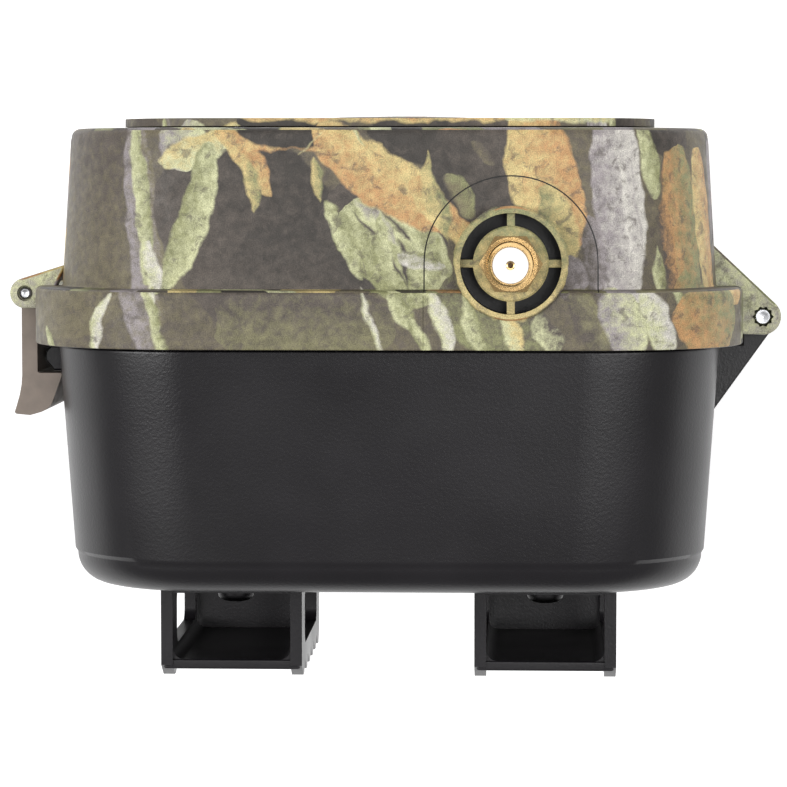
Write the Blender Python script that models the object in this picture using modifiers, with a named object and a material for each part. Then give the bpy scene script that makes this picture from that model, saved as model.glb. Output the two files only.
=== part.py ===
"""Trail camera: a clamshell case with a hinged front, two side latches and strap brackets.

All sizes below are millimetres and MM turns them into Blender's metres. In the body's own frame
+Z is up, the front faces -Y, the hinge is at -X and the latches are at +X. Y = 0 is the seam
between the front cover and the rear case, X = 0 is the middle of the case and Z = 0 its base.
"""

import math

import bmesh
import bpy
from mathutils import Vector

MM = 0.001
OBJECT_NAME = "trail_camera"
MERGE = 0.00001
GAP = 0.3

# The datum puts the origin under the middle of the whole object's box.
DATUM = (0.975, -7.725, 0.0)

# Case
HEIGHT = 148.0
MID_Z = HEIGHT / 2
SEAM_WIDTH = 100.6
SEAM_HEIGHT = 141.4
COVER_FRONT_Y = -32.5
COVER_FRONT_WIDTH = 96.9
COVER_FRONT_HEIGHT = 137.7
CASE_REAR_Y = 36.6
CASE_REAR_WIDTH = 95.9
CASE_REAR_HEIGHT = 136.7
CORNER = 21.0
CORNER_STEPS = 6
WALL = 2.2
FRONT_EDGE = 1.0
REAR_EDGE = 4.6

# Flange of the front cover, which stands proud all round at the seam
FLANGE_WIDTH = 107.7
FLANGE_DEPTH = 8.7
FLANGE_CORNER = 24.4
MOUTH_WIDTH = 88.0
MOUTH_HEIGHT = 128.7
MOUTH_CORNER = 16.0
SEAL_WIDTH = 93.2
SEAL_HEIGHT = 134.0
SEAL_CORNER = 18.0
GROOVE = 4.4
GROOVE_DEPTH = 3.2
GASKET = 3.4
RIB = 1.4

# Raised front panel
PANEL_WIDTH = 81.0
PANEL_HEIGHT = 120.0
PANEL_CORNER = 14.0
PANEL_Y = -34.0
PANEL_Z = 74.0
WINDOW_WIDTH = 62.0
WINDOW_HEIGHT = 34.0
WINDOW_CORNER = 6.0
WINDOW_Z = 109.0
LENS_Z = 74.0
LENS_RADIUS = 12.0
PIR_Z = 38.0
PIR_RADIUS = 14.5
PIR_RISE = 3.0
PIR_RINGS = 4
SENSOR_X = 27.0

# Antenna jack, on a boss on the top of the cover
JACK_X = -18.8
JACK_Y = -12.7
RING_RADIUS = 8.35
RING_WALL = 1.0
RING_TOP = 148.7
BOSS_RADIUS = 5.5
BOSS_TOP = 148.2
RIB_THICK = 1.2
THREAD_RADIUS = 3.175
JACK_TOP = 157.5
JACK_LOW = 141.3
JACK_BASE = 141.2
RECESS_FLOOR = 144.0
NUT_FLATS = 8.0

# Hinge
HINGE_X = -57.0
HINGE_Y = -4.0
HINGE_EYE = 2.75
HINGE_PIN = 1.15
PIN_HOLE = 1.45
STATION_Z = 37.0
HINGE_SPAN = 24.0
EAR_THICK = 5.5

# Latches
LATCH_X = 55.5
LATCH_Y = -7.5
LATCH_EYE = 2.3
LATCH_PIN = 0.9
LATCH_HOLE = 1.2
LATCH_SPAN = 29.0
LATCH_EAR = 3.5
LEVER_BARREL = 1.95

# Strap brackets
BRACKET_X = 24.05
BRACKET_HALF = 10.85
BRACKET_Z = 104.95
BRACKET_HEIGHT = 40.7
BRACKET_WALL = 1.8
WEB_Y = 49.5
WEB_THICK = 1.5
TOOTH_Y = 51.5
STEP_Y = 47.1
SHELF_THICK = 1.6
SHELF_Z = 88.2
STRAP_WIDTH = 28.0
SCREW_RISE = 12.0

# Inside
BOARD_Y = -17.2
BOARD_THICK = 1.6
INNER_PANEL_Y = -10.2
INNER_PANEL_THICK = 1.6
SCREEN_Z = 100.0
KEY_X = -20.0
KEY_Z = 60.0
KEY_PITCH = 10.0
KEY_RADIUS = 3.1
SWITCH_X = -20.0
SWITCH_Z = 34.0
SWITCH_REACH = 4.6
USB_X = -20.0
USB_Y = -12.7
USB_Z = 20.0
CONTACTS_X = -38.0
CARD_X = 24.0
CARD_WIDTH = 24.0
CARD_HEIGHT = 32.0
CARD_THICK = 2.1
CARD_Y = -14.1
CARD_BOTTOM = 41.5
POCKET_HEIGHT = 34.0
POCKET_Z = 27.0
CELL_RADIUS = 7.15
CELL_LENGTH = 49.2
CELL_PITCH = 15.4
CELL_Y = 13.2
CELL_ROW = 29.5
CELL_COLUMNS = 4
FLAP_Z = 74.0
FLAP_HEIGHT = 24.0
FLAP_WIDTH = 13.0
SOCKET_REACH = 6.0

COLOURS = {
    "camo_plastic": ((0.16, 0.15, 0.10), 0.55, 0.0),
    "black_plastic": ((0.025, 0.023, 0.024), 0.45, 0.0),
    "latch_plastic": ((0.22, 0.19, 0.155), 0.5, 0.0),
    "dark_window": ((0.01, 0.008, 0.012), 0.1, 0.0),
    "white_lens": ((0.75, 0.75, 0.73), 0.35, 0.0),
    "glass": ((0.05, 0.05, 0.07), 0.05, 0.0),
    "circuit_board": ((0.02, 0.12, 0.05), 0.5, 0.0),
    "rubber": ((0.03, 0.03, 0.03), 0.8, 0.0),
    "steel": ((0.55, 0.56, 0.58), 0.3, 1.0),
    "gold_plate": ((0.83, 0.62, 0.28), 0.25, 1.0),
    "brass": ((0.72, 0.52, 0.25), 0.3, 1.0),
    "insulator": ((0.85, 0.84, 0.80), 0.5, 0.0),
    "cell_wrap": ((0.05, 0.09, 0.16), 0.35, 0.0),
    "card_plastic": ((0.04, 0.05, 0.09), 0.4, 0.0),
    "key_rubber": ((0.35, 0.35, 0.36), 0.7, 0.0),
    "screen": ((0.02, 0.03, 0.04), 0.15, 0.0),
    "cable_sheath": ((0.05, 0.05, 0.05), 0.5, 0.0),
}

FACE_FRONT = (math.radians(90), 0, 0)
FACE_UP = (0, 0, 0)
FACE_SIDE = (0, math.radians(90), 0)


# Scene and material helpers


def clear_scene():
    for obj in list(bpy.data.objects):
        bpy.data.objects.remove(obj, do_unlink=True)


def make_collection(name):
    collection = bpy.data.collections.new(name)
    bpy.context.scene.collection.children.link(collection)
    return collection


def make_materials():
    made = {}
    for name, (colour, roughness, metallic) in COLOURS.items():
        material = bpy.data.materials.new(name)
        material.use_nodes = True
        shader = material.node_tree.nodes["Principled BSDF"]
        shader.inputs["Base Color"].default_value = (*colour, 1.0)
        shader.inputs["Roughness"].default_value = roughness
        shader.inputs["Metallic"].default_value = metallic
        made[name] = material
    return made


def scaled(values):
    return tuple(value * MM for value in values)


def make_empty(name, location, parent=None, turn=0.0):
    empty = bpy.data.objects.new(name, None)
    empty.empty_display_size = 5 * MM
    empty.location = scaled(location)
    empty.rotation_euler = (0, 0, turn)
    empty.parent = parent
    parts.objects.link(empty)
    return empty


def add_object(name, mesh, finish, location, rotation=FACE_UP, parent=None):
    """Links a mesh as one sub-part. The location is in millimetres, in its parent's frame."""
    obj = bpy.data.objects.new(name, mesh)
    obj.location = scaled(location)
    obj.rotation_euler = rotation
    obj.parent = parent or datum
    if finish:
        mesh.materials.append(materials[finish])
    parts.objects.link(obj)
    return obj


def as_cutter(obj):
    """Moves an object that only cuts or joins out of the parts."""
    parts.objects.unlink(obj)
    cutters.objects.link(obj)
    obj.hide_render = True
    obj.display_type = "WIRE"


def combine(target, tools, operation):
    for tool in tools:
        as_cutter(tool)
        modifier = target.modifiers.new(operation.lower(), "BOOLEAN")
        modifier.operation = operation
        modifier.solver = "EXACT"
        modifier.object = tool


def join(target, *tools):
    combine(target, tools, "UNION")


def cut(target, *tools):
    combine(target, tools, "DIFFERENCE")


# Shape helpers


def arc(centre, radius, start, end, steps):
    """Points on an arc, angles in degrees."""
    points = []
    for step in range(steps + 1):
        angle = math.radians(start + (end - start) * step / steps)
        points.append((centre[0] + radius * math.cos(angle), centre[1] + radius * math.sin(angle)))
    return points


def rounded(width, height, radius, steps=CORNER_STEPS, centre=(0, 0)):
    """A rounded rectangle's outline, anticlockwise."""
    points = []
    for corner, (sx, sy) in enumerate(((1, 1), (-1, 1), (-1, -1), (1, -1))):
        middle = (
            centre[0] + sx * (width / 2 - radius),
            centre[1] + sy * (height / 2 - radius),
        )
        points += arc(middle, radius, corner * 90, corner * 90 + 90, steps)
    return points


def circle(radius, steps=16, centre=(0, 0)):
    return arc(centre, radius, 0, 360, steps)[:-1]


def plate(name, outlines, thickness, finish, location, rotation=FACE_FRONT, parent=None):
    """A flat outline with its holes, given a thickness either side of its plane."""
    curve = bpy.data.curves.new(name, "CURVE")
    curve.dimensions = "2D"
    curve.fill_mode = "BOTH"
    curve.extrude = thickness / 2 * MM
    for outline in outlines:
        spline = curve.splines.new("POLY")
        spline.points.add(len(outline) - 1)
        for point, (x, y) in zip(spline.points, outline):
            point.co = (x * MM, y * MM, 0, 1)
        spline.use_cyclic_u = True
    return add_object(name, mesh_of_curve(curve), finish, location, rotation, parent)


def mesh_of_curve(curve):
    """The closed mesh that a curve makes, with its caps welded on."""
    holder = bpy.data.objects.new("curve_holder", curve)
    bpy.context.scene.collection.objects.link(holder)
    depsgraph = bpy.context.evaluated_depsgraph_get()
    mesh = bpy.data.meshes.new_from_object(holder.evaluated_get(depsgraph))
    bpy.data.objects.remove(holder, do_unlink=True)
    work = bmesh.new()
    work.from_mesh(mesh)
    bmesh.ops.remove_doubles(work, verts=work.verts, dist=MERGE)
    bmesh.ops.recalc_face_normals(work, faces=work.faces)
    work.to_mesh(mesh)
    work.free()
    mesh.materials.clear()
    return mesh


def block(name, size, finish, location, bevel=0.0, steps=2, parent=None, rotation=FACE_UP):
    work = bmesh.new()
    bmesh.ops.create_cube(work, size=1.0)
    bmesh.ops.scale(work, vec=Vector(scaled(size)), verts=work.verts)
    mesh = bpy.data.meshes.new(name)
    work.to_mesh(mesh)
    work.free()
    obj = add_object(name, mesh, finish, location, rotation, parent)
    if bevel:
        add_bevel(obj, bevel, steps)
    return obj


def add_bevel(obj, width, steps=2):
    modifier = obj.modifiers.new("edges", "BEVEL")
    modifier.width = width * MM
    modifier.segments = steps
    modifier.limit_method = "ANGLE"
    modifier.angle_limit = math.radians(50)


def rod(name, radius, length, finish, location, rotation=FACE_UP, steps=16, parent=None):
    """A plain cylinder along its own Z."""
    work = bmesh.new()
    bmesh.ops.create_cone(
        work,
        cap_ends=True,
        segments=steps,
        radius1=radius * MM,
        radius2=radius * MM,
        depth=length * MM,
    )
    mesh = bpy.data.meshes.new(name)
    work.to_mesh(mesh)
    work.free()
    mesh.shade_smooth()
    mesh.set_sharp_from_angle(angle=math.radians(40))
    return add_object(name, mesh, finish, location, rotation, parent)


def turned(name, profile, finish, location, rotation=FACE_UP, steps=20, closed=False, parent=None):
    """A turned piece. The profile holds (radius, height) points, from the top down its outer side."""
    mesh = bpy.data.meshes.new(name)
    points = [(radius * MM, 0, height * MM) for radius, height in profile]
    edges = [(i, i + 1) for i in range(len(points) - 1)]
    if closed:
        edges.append((len(points) - 1, 0))
    mesh.from_pydata(points, edges, [])
    obj = add_object(name, mesh, finish, location, rotation, parent)
    screw = obj.modifiers.new("turn", "SCREW")
    screw.axis = "Z"
    screw.angle = math.radians(360)
    screw.steps = steps
    screw.render_steps = steps
    screw.use_merge_vertices = True
    screw.merge_threshold = MERGE
    screw.use_smooth_shade = True
    screw.use_normal_calculate = False
    return obj


def tub(name, near, far, near_y, far_y, edge, finish):
    """A drafted box with rounded corners and a wall, open at the seam.

    An edge wider than the wall is rounded before the wall is made, and a smaller one after it.
    """
    work = bmesh.new()
    bmesh.ops.create_cube(work, size=1.0)
    for vertex in work.verts:
        at_seam = (vertex.co.y > 0) == (near_y > far_y)
        width, height = near if at_seam else far
        vertex.co = Vector(
            (
                vertex.co.x * width * MM,
                (near_y if at_seam else far_y) * MM,
                vertex.co.z * height * MM,
            )
        )
    long_edges = [e for e in work.edges if abs(e.verts[0].co.y - e.verts[1].co.y) > MM]
    bmesh.ops.bevel(
        work,
        geom=long_edges,
        offset=CORNER * MM,
        offset_type="OFFSET",
        segments=CORNER_STEPS,
        profile=0.5,
        affect="EDGES",
    )
    if edge > WALL:
        end_edges = [
            e for e in work.edges if all(abs(v.co.y - far_y * MM) < MERGE for v in e.verts)
        ]
        bmesh.ops.bevel(
            work,
            geom=end_edges,
            offset=edge * MM,
            offset_type="OFFSET",
            segments=3,
            profile=0.5,
            affect="EDGES",
        )
    seam = [f for f in work.faces if all(abs(v.co.y - near_y * MM) < MERGE for v in f.verts)]
    bmesh.ops.delete(work, geom=seam, context="FACES_ONLY")
    mesh = bpy.data.meshes.new(name)
    work.to_mesh(mesh)
    work.free()
    mesh.shade_smooth()
    mesh.set_sharp_from_angle(angle=math.radians(35))
    obj = add_object(name, mesh, finish, (0, 0, MID_Z))
    wall = obj.modifiers.new("wall", "SOLIDIFY")
    wall.thickness = WALL * MM
    wall.offset = -1
    wall.use_even_offset = True
    if edge <= WALL:
        add_bevel(obj, edge)
    return obj


def frame_ring(name, outer, inner, y_front, y_back, finish):
    """A flat ring in the seam's plane. Outer and inner are (width, height, corner)."""
    outlines = [rounded(*outer), rounded(*inner)]
    middle = (y_front + y_back) / 2
    return plate(name, outlines, y_back - y_front, finish, (0, middle, MID_Z))


def seal_ring(name, width, y_front, y_back, finish):
    """A ring of the given width along the seal's line."""
    outer = (SEAL_WIDTH + width, SEAL_HEIGHT + width, SEAL_CORNER + width / 2)
    inner = (SEAL_WIDTH - width, SEAL_HEIGHT - width, SEAL_CORNER - width / 2)
    return frame_ring(name, outer, inner, y_front, y_back, finish)


def tangent_angle(point, centre, radius, side):
    """The direction from a circle's centre to where a line from the point touches it, in degrees."""
    dx = point[0] - centre[0]
    dy = point[1] - centre[1]
    toward = math.degrees(math.atan2(dy, dx))
    return toward + side * math.degrees(math.acos(radius / math.hypot(dx, dy)))


def half_width(y):
    """The case's or cover's half width at a depth, with its draft."""
    if y < 0:
        drop = (SEAM_WIDTH - COVER_FRONT_WIDTH) / 2 * (y / COVER_FRONT_Y)
    else:
        drop = (SEAM_WIDTH - CASE_REAR_WIDTH) / 2 * (y / CASE_REAR_Y)
    return SEAM_WIDTH / 2 - drop


# Hinge and latch ears


def hinge_stations():
    """The middle height of each hinge, lower and upper."""
    return (("lower", MID_Z - STATION_Z), ("upper", MID_Z + STATION_Z))


def cover_ear(name, z, thickness):
    """A gusset from the cover's side to the hinge's eye."""
    centre = (HINGE_X, HINGE_Y)
    root = (-47.6, -16.6)
    back = (-50.5, -1.4)
    start = tangent_angle(back, centre, HINGE_EYE, 1)
    end = tangent_angle(root, centre, HINGE_EYE, -1) + 360
    outline = [root, back] + arc(centre, HINGE_EYE, start, end, 10)
    return plate(name, [outline], thickness, "camo_plastic", (0, 0, z), FACE_UP)


def case_ear(name, z, thickness):
    """A gusset from the case's side to the hinge's eye, clear of the flange."""
    centre = (HINGE_X, HINGE_Y)
    root = (-48.9, 12.1)
    inner = HINGE_X + HINGE_EYE
    end = tangent_angle(root, centre, HINGE_EYE, 1)
    outline = arc(centre, HINGE_EYE, 0, end - 360, 12)
    outline += [root, (-48.9, GAP + 0.2), (inner, GAP + 0.2)]
    return plate(name, [outline], thickness, "black_plastic", (0, 0, z), FACE_UP)


def latch_ear(name, z):
    """A lug on the cover's side with the latch's eye."""
    centre = (LATCH_X, LATCH_Y)
    root = (49.2, -11.9)
    back = (52.4, -5.2)
    start = tangent_angle(root, centre, LATCH_EYE, 1)
    end = tangent_angle(back, centre, LATCH_EYE, -1)
    outline = [back, root] + arc(centre, LATCH_EYE, start, end, 10)
    return plate(name, [outline], LATCH_EAR, "camo_plastic", (0, 0, z), FACE_UP)


def ear_heights(middle, span, thickness):
    """The middles of the two outer ears of a station."""
    rise = (span - thickness) / 2
    return middle - rise, middle + rise


# Rear case


def build_rear_case():
    case = tub(
        "rear_case",
        (SEAM_WIDTH, SEAM_HEIGHT),
        (CASE_REAR_WIDTH, CASE_REAR_HEIGHT),
        GAP,
        CASE_REAR_Y,
        REAR_EDGE,
        "black_plastic",
    )
    rim = frame_ring(
        "rim",
        (SEAM_WIDTH - 0.8, SEAM_HEIGHT - 0.8, CORNER - 0.4),
        (SEAM_WIDTH - 10.4, SEAM_HEIGHT - 10.4, CORNER - 5.2),
        GAP + 0.1,
        3.0,
        None,
    )
    rib = seal_ring("seal_rib", RIB, -1.0, 1.5, None)
    tools = [rim, rib]
    for where, z in hinge_stations():
        thickness = HINGE_SPAN - 2 * EAR_THICK - 2 * GAP
        tools.append(case_ear("case_ear_" + where, z, thickness))
    foot_top = 7.5
    for x in (-30.0, 30.0):
        foot = block("foot", (12.0, 6.0, foot_top), None, (x, 27.0, foot_top / 2), bevel=0.8)
        tools.append(foot)
    tools.append(rod("tripod_boss", 8.0, 12.0, None, (0, 17.0, 7.0), steps=16))
    join(case, *tools)
    cutters_here = [rod("tripod_bore", 4.6, 11.0, None, (0, 17.0, 5.4), steps=16)]
    for where, z in hinge_stations():
        at = (HINGE_X, HINGE_Y, z)
        cutters_here.append(rod("bore", PIN_HOLE, HINGE_SPAN, None, at, steps=10))
    for x in (-BRACKET_X, BRACKET_X):
        for rise in (-SCREW_RISE, SCREW_RISE):
            at = (x, CASE_REAR_Y, BRACKET_Z + rise)
            cutters_here.append(rod("screw_hole", 1.7, 12.0, None, at, FACE_FRONT, 8))
    cut(case, *cutters_here)


def build_tripod_insert():
    profile = [(2.7, 4.4), (4.3, 4.4), (4.3, -4.4), (2.7, -4.4)]
    turned("tripod_insert", profile, "brass", (0, 17.0, 6.0), steps=16, closed=True)


def build_keepers():
    """The lugs that the latch hooks catch behind."""
    for where, z in hinge_stations():
        block(
            "catch_keeper_" + where,
            (2.65, 3.7, 17.0),
            "black_plastic",
            (51.925, 2.75, z),
            bevel=0.5,
            steps=1,
        )


def bracket_side(name, x):
    """One side wall of a strap bracket, with its strap slot, its step and its bark teeth."""
    base = CASE_REAR_Y + GAP
    low = -BRACKET_HEIGHT / 2
    high = BRACKET_HEIGHT / 2
    pitch = BRACKET_HEIGHT / 6
    outline = [(base, high), (base, low)]
    for tooth in range(6):
        start = low + tooth * pitch
        outline += [
            (TOOTH_Y - 1.9, start),
            (TOOTH_Y, start + 0.25 * pitch),
            (TOOTH_Y, start + 0.5 * pitch),
        ]
    outline.append((TOOTH_Y - 1.9, high))
    slot_middle = ((base + 1.8 + STEP_Y) / 2, 0)
    slot = rounded(STEP_Y - base - 1.8, STRAP_WIDTH, 2.0, 3, slot_middle)
    upright = (math.radians(90), 0, math.radians(90))
    return plate(name, [outline, slot], BRACKET_WALL, None, (x, 0, BRACKET_Z), upright)


def build_brackets():
    for where, x in (("left", -BRACKET_X), ("right", BRACKET_X)):
        web = block(
            "strap_bracket_" + where,
            (2 * BRACKET_HALF - 0.6, WEB_THICK, BRACKET_HEIGHT - 0.6),
            "black_plastic",
            (x, WEB_Y, BRACKET_Z),
        )
        floor = block(
            "bracket_floor",
            (2 * BRACKET_HALF - 0.6, 1.6, BRACKET_HEIGHT - 0.6),
            None,
            (x, CASE_REAR_Y + GAP + 0.8, BRACKET_Z),
        )
        shelf_size = (2 * BRACKET_HALF - 0.6, WEB_Y - CASE_REAR_Y - GAP, SHELF_THICK)
        shelf_middle = (x, (WEB_Y + CASE_REAR_Y + GAP) / 2, SHELF_Z)
        shelf = block("bracket_shelf", shelf_size, None, shelf_middle)
        reach = BRACKET_HALF - BRACKET_WALL / 2
        sides = [bracket_side("bracket_side", x + way * reach) for way in (-1, 1)]
        join(web, floor, shelf, *sides)
        holes = []
        for rise in (-SCREW_RISE, SCREW_RISE):
            at = (x, CASE_REAR_Y, BRACKET_Z + rise)
            holes.append(rod("bracket_hole", 1.7, 6.0, None, at, FACE_FRONT, 8))
            access = (x, WEB_Y, BRACKET_Z + rise)
            holes.append(rod("driver_hole", 3.2, 6.0, None, access, FACE_FRONT, 12))
        cut(web, *holes)
        for number, rise in enumerate((-SCREW_RISE, SCREW_RISE), start=1):
            profile = [(0, 1.8), (1.6, 1.8), (2.8, 1.2), (2.8, 0), (1.3, 0), (1.3, -7.0), (0, -7.0)]
            at = (x, CASE_REAR_Y + 2.3, BRACKET_Z + rise)
            turned(
                f"bracket_screw_{where}_{number}",
                profile,
                "steel",
                at,
                (math.radians(-90), 0, 0),
                steps=12,
            )


# Battery bay


def cell_places():
    """Each cell's column, row and middle."""
    places = []
    for row, way in enumerate((-1, 1)):
        for column in range(CELL_COLUMNS):
            x = (column - (CELL_COLUMNS - 1) / 2) * CELL_PITCH
            z = MID_Z + way * CELL_ROW
            places.append((column, row, x, z))
    return places


def build_battery_tray():
    deck = plate(
        "battery_tray",
        [rounded(89.4, 130.2, 15.2)],
        1.6,
        "black_plastic",
        (0, 4.4, MID_Z),
    )
    bay_width = CELL_COLUMNS * CELL_PITCH + 1.0
    bay_height = 117.0
    outer = block("bay_outer", (bay_width + 3.0, 18.6, bay_height + 3.0), None, (0, 13.3, MID_Z))
    join(deck, outer)
    bay_cut = block("bay_cut", (bay_width, 20.0, bay_height), None, (0, 11.1, MID_Z))
    cut(deck, bay_cut)
    ridges = []
    for index in range(1, CELL_COLUMNS):
        x = (index - CELL_COLUMNS / 2) * CELL_PITCH
        for way in (-1, 1):
            ridge = block("ridge", (0.7, 6.0, 36.0), None, (x, 19.0, MID_Z + way * CELL_ROW))
            ridges.append(ridge)
    join(deck, *ridges)


def build_cells():
    for number, (column, row, x, z) in enumerate(cell_places(), start=1):
        half = CELL_LENGTH / 2
        profile = [
            (0, half),
            (2.7, half),
            (2.7, half - 1.2),
            (CELL_RADIUS, half - 1.6),
            (CELL_RADIUS, -half),
            (0, -half),
        ]
        flipped = (column + row) % 2 == 1
        rotation = (math.radians(180), 0, 0) if flipped else FACE_UP
        turned(f"battery_{number}", profile, "cell_wrap", (x, CELL_Y, z), rotation, steps=16)


def contact_spring(name, x, z, up):
    """A stub the size of a squeezed contact spring."""
    profile = [(0, 2.0), (2.2, 2.0), (4.2, -0.5), (0, -0.5)]
    rotation = FACE_UP if up else (math.radians(180), 0, 0)
    return turned(name, profile, None, (x, CELL_Y, z), rotation, steps=12)


def build_contacts():
    """Strips across the ends of the cells, with a spring for each flat end."""
    width = CELL_COLUMNS * CELL_PITCH - 1.0
    reach = CELL_LENGTH / 2
    for name, z, ends in (
        ("contact_strip_lower", MID_Z - CELL_ROW - reach - 3.0, ((0, 1),)),
        ("contact_strip_middle", MID_Z, ((0, -1), (1, 1))),
        ("contact_strip_upper", MID_Z + CELL_ROW + reach + 3.0, ((1, -1),)),
    ):
        thick = 3.0 if name == "contact_strip_middle" else 0.8
        strip = block(name, (width, 11.0, thick), "steel", (0, CELL_Y, z))
        springs = []
        for column in range(CELL_COLUMNS):
            for row, way in ends:
                flat_end_down = (column + row) % 2 == 0
                faces_down = way == 1
                if flat_end_down != faces_down:
                    continue
                x = (column - (CELL_COLUMNS - 1) / 2) * CELL_PITCH
                offset = way * (thick / 2 + 0.2)
                springs.append(contact_spring("spring", x, z + offset, way == 1))
        if springs:
            join(strip, *springs)


def build_spring_contacts():
    """The block that carries power across the seam to the pads in the cover."""
    at = (CONTACTS_X, 0.9, MID_Z)
    body = block("spring_contacts", (6.0, 5.0, 22.0), "black_plastic", at)
    pins = []
    for index in range(4):
        z = MID_Z + (index - 1.5) * 5.0
        pins.append(rod("pin", 0.8, 4.0, None, (CONTACTS_X, -2.2, z), FACE_FRONT, 10))
    join(body, *pins)


# Front cover


def build_front_cover():
    cover = tub(
        "front_cover",
        (half_width(-FLANGE_DEPTH) * 2 + 0.6, SEAM_HEIGHT),
        (COVER_FRONT_WIDTH, COVER_FRONT_HEIGHT),
        -6.0,
        COVER_FRONT_Y,
        FRONT_EDGE,
        "camo_plastic",
    )
    flange = frame_ring(
        "flange",
        (FLANGE_WIDTH, HEIGHT, FLANGE_CORNER),
        (MOUTH_WIDTH, MOUTH_HEIGHT, MOUTH_CORNER),
        -FLANGE_DEPTH,
        0.0,
        None,
    )
    ring_at = (JACK_X, JACK_Y, (RING_TOP + JACK_BASE) / 2)
    ring = rod("jack_ring", RING_RADIUS, RING_TOP - JACK_BASE, None, ring_at, steps=24)
    tools = [flange, ring]
    for where, z in hinge_stations():
        low, high = ear_heights(z, HINGE_SPAN, EAR_THICK)
        tools += [cover_ear("cover_ear", low, EAR_THICK), cover_ear("cover_ear", high, EAR_THICK)]
        low, high = ear_heights(z, LATCH_SPAN, LATCH_EAR)
        tools += [latch_ear("latch_ear", low), latch_ear("latch_ear", high)]
    join(cover, *tools)
    cut(cover, *cover_cutters())
    join(cover, *jack_boss())
    bore = rod("jack_bore", THREAD_RADIUS + GAP, 30.0, None, (JACK_X, JACK_Y, 145.0), steps=16)
    cut(cover, bore)


def cover_cutters():
    """Everything that opens the cover: seal groove, recesses, windows and bores."""
    groove = seal_ring("seal_groove", GROOVE, -GROOVE_DEPTH, 1.0, None)
    recess_at = (JACK_X, JACK_Y, RECESS_FLOOR + 4.0)
    recess = rod("jack_recess", RING_RADIUS - RING_WALL, 8.0, None, recess_at, steps=24)
    made = [groove, recess]
    opening = [rounded(WINDOW_WIDTH - 6.0, WINDOW_HEIGHT - 6.0, WINDOW_CORNER, 4)]
    made.append(plate("window_opening", opening, 8.0, None, (0, COVER_FRONT_Y, WINDOW_Z)))
    for radius, z in ((LENS_RADIUS - 1.0, LENS_Z), (PIR_RADIUS - 2.0, PIR_Z)):
        made.append(rod("round_opening", radius, 8.0, None, (0, COVER_FRONT_Y, z), FACE_FRONT, 24))
    at = (SENSOR_X, COVER_FRONT_Y, LENS_Z)
    made.append(rod("sensor_opening", 2.6, 8.0, None, at, FACE_FRONT, 12))
    for where, z in hinge_stations():
        at = (HINGE_X, HINGE_Y, z)
        made.append(rod("hinge_bore", PIN_HOLE, 40.0, None, at, steps=10))
        at = (LATCH_X, LATCH_Y, z)
        made.append(rod("latch_bore", LATCH_HOLE, 40.0, None, at, steps=10))
        lever = LATCH_SPAN - 2 * LATCH_EAR
        made.append(rod("lever_pocket", LEVER_BARREL + 0.5, lever, None, at, steps=12))
    made += flap_cutters()
    return made


def jack_boss():
    """The boss under the jack's nut and the four ribs that hold it."""
    boss_at = (JACK_X, JACK_Y, (BOSS_TOP + JACK_BASE) / 2)
    boss = rod("jack_boss", BOSS_RADIUS, BOSS_TOP - JACK_BASE, None, boss_at, steps=16)
    reach = 2 * RING_RADIUS - RING_WALL
    rib_height = BOSS_TOP - 0.7 - JACK_BASE
    middle = JACK_BASE + rib_height / 2
    across = block("jack_rib", (reach, RIB_THICK, rib_height), None, (JACK_X, JACK_Y, middle))
    along = block("jack_rib", (RIB_THICK, reach, rib_height), None, (JACK_X, JACK_Y, middle))
    return [boss, across, along]


def build_cover_gasket():
    seal_ring("cover_gasket", GASKET, -GROOVE_DEPTH + GAP, -1.3, "rubber")


def build_jack():
    centre = (JACK_X, JACK_Y, 0)
    profile = [
        (2.3, JACK_TOP),
        (2.7, JACK_TOP),
        (THREAD_RADIUS, JACK_TOP - 0.6),
        (THREAD_RADIUS, JACK_LOW),
        (2.3, JACK_LOW),
    ]
    turned("sma_jack", profile, "gold_plate", centre, steps=20, closed=True)
    core = [
        (0.5, JACK_TOP - 0.4),
        (2.0, JACK_TOP - 0.4),
        (2.0, JACK_LOW + 0.3),
        (0, JACK_LOW + 0.3),
        (0, JACK_TOP - 3.4),
        (0.5, JACK_TOP - 3.4),
    ]
    turned("sma_insulator", core, "insulator", centre, steps=16, closed=True)
    corner = NUT_FLATS / 2 / math.cos(math.radians(30))
    hexagon = arc((0, 0), corner, 0, 300, 5)
    hole = circle(THREAD_RADIUS + GAP, 20)
    low = BOSS_TOP + GAP
    plate("sma_nut", [hexagon, hole], 2.2, "gold_plate", (JACK_X, JACK_Y, low + 1.1), FACE_UP)


def build_coax():
    """The lead from the jack down to the board, round the edge of the screen."""
    route = [
        Vector((JACK_X, JACK_Y, JACK_LOW - GAP)),
        Vector((JACK_X, JACK_Y, 132.0)),
        Vector((-26.0, -13.2, 127.0)),
        Vector((-36.0, -13.6, 123.0)),
        Vector((-39.0, -13.6, 112.0)),
        Vector((-38.0, -13.6, 98.0)),
        Vector((-36.0, -13.8, 90.0)),
    ]
    points = []
    for index in range(len(route) - 1):
        before = route[max(index - 1, 0)]
        after = route[min(index + 2, len(route) - 1)]
        start = route[index]
        end = route[index + 1]
        for step in range(4):
            points.append(catmull_rom(before, start, end, after, step / 4))
    points.append(route[-1])
    curve = bpy.data.curves.new("coax_pigtail", "CURVE")
    curve.dimensions = "3D"
    curve.bevel_depth = 0.9 * MM
    curve.bevel_resolution = 2
    curve.use_fill_caps = True
    spline = curve.splines.new("POLY")
    spline.points.add(len(points) - 1)
    for target, point in zip(spline.points, points):
        target.co = (point.x * MM, point.y * MM, point.z * MM, 1)
    add_object("coax_pigtail", mesh_of_curve(curve), "cable_sheath", (0, 0, 0))


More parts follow.
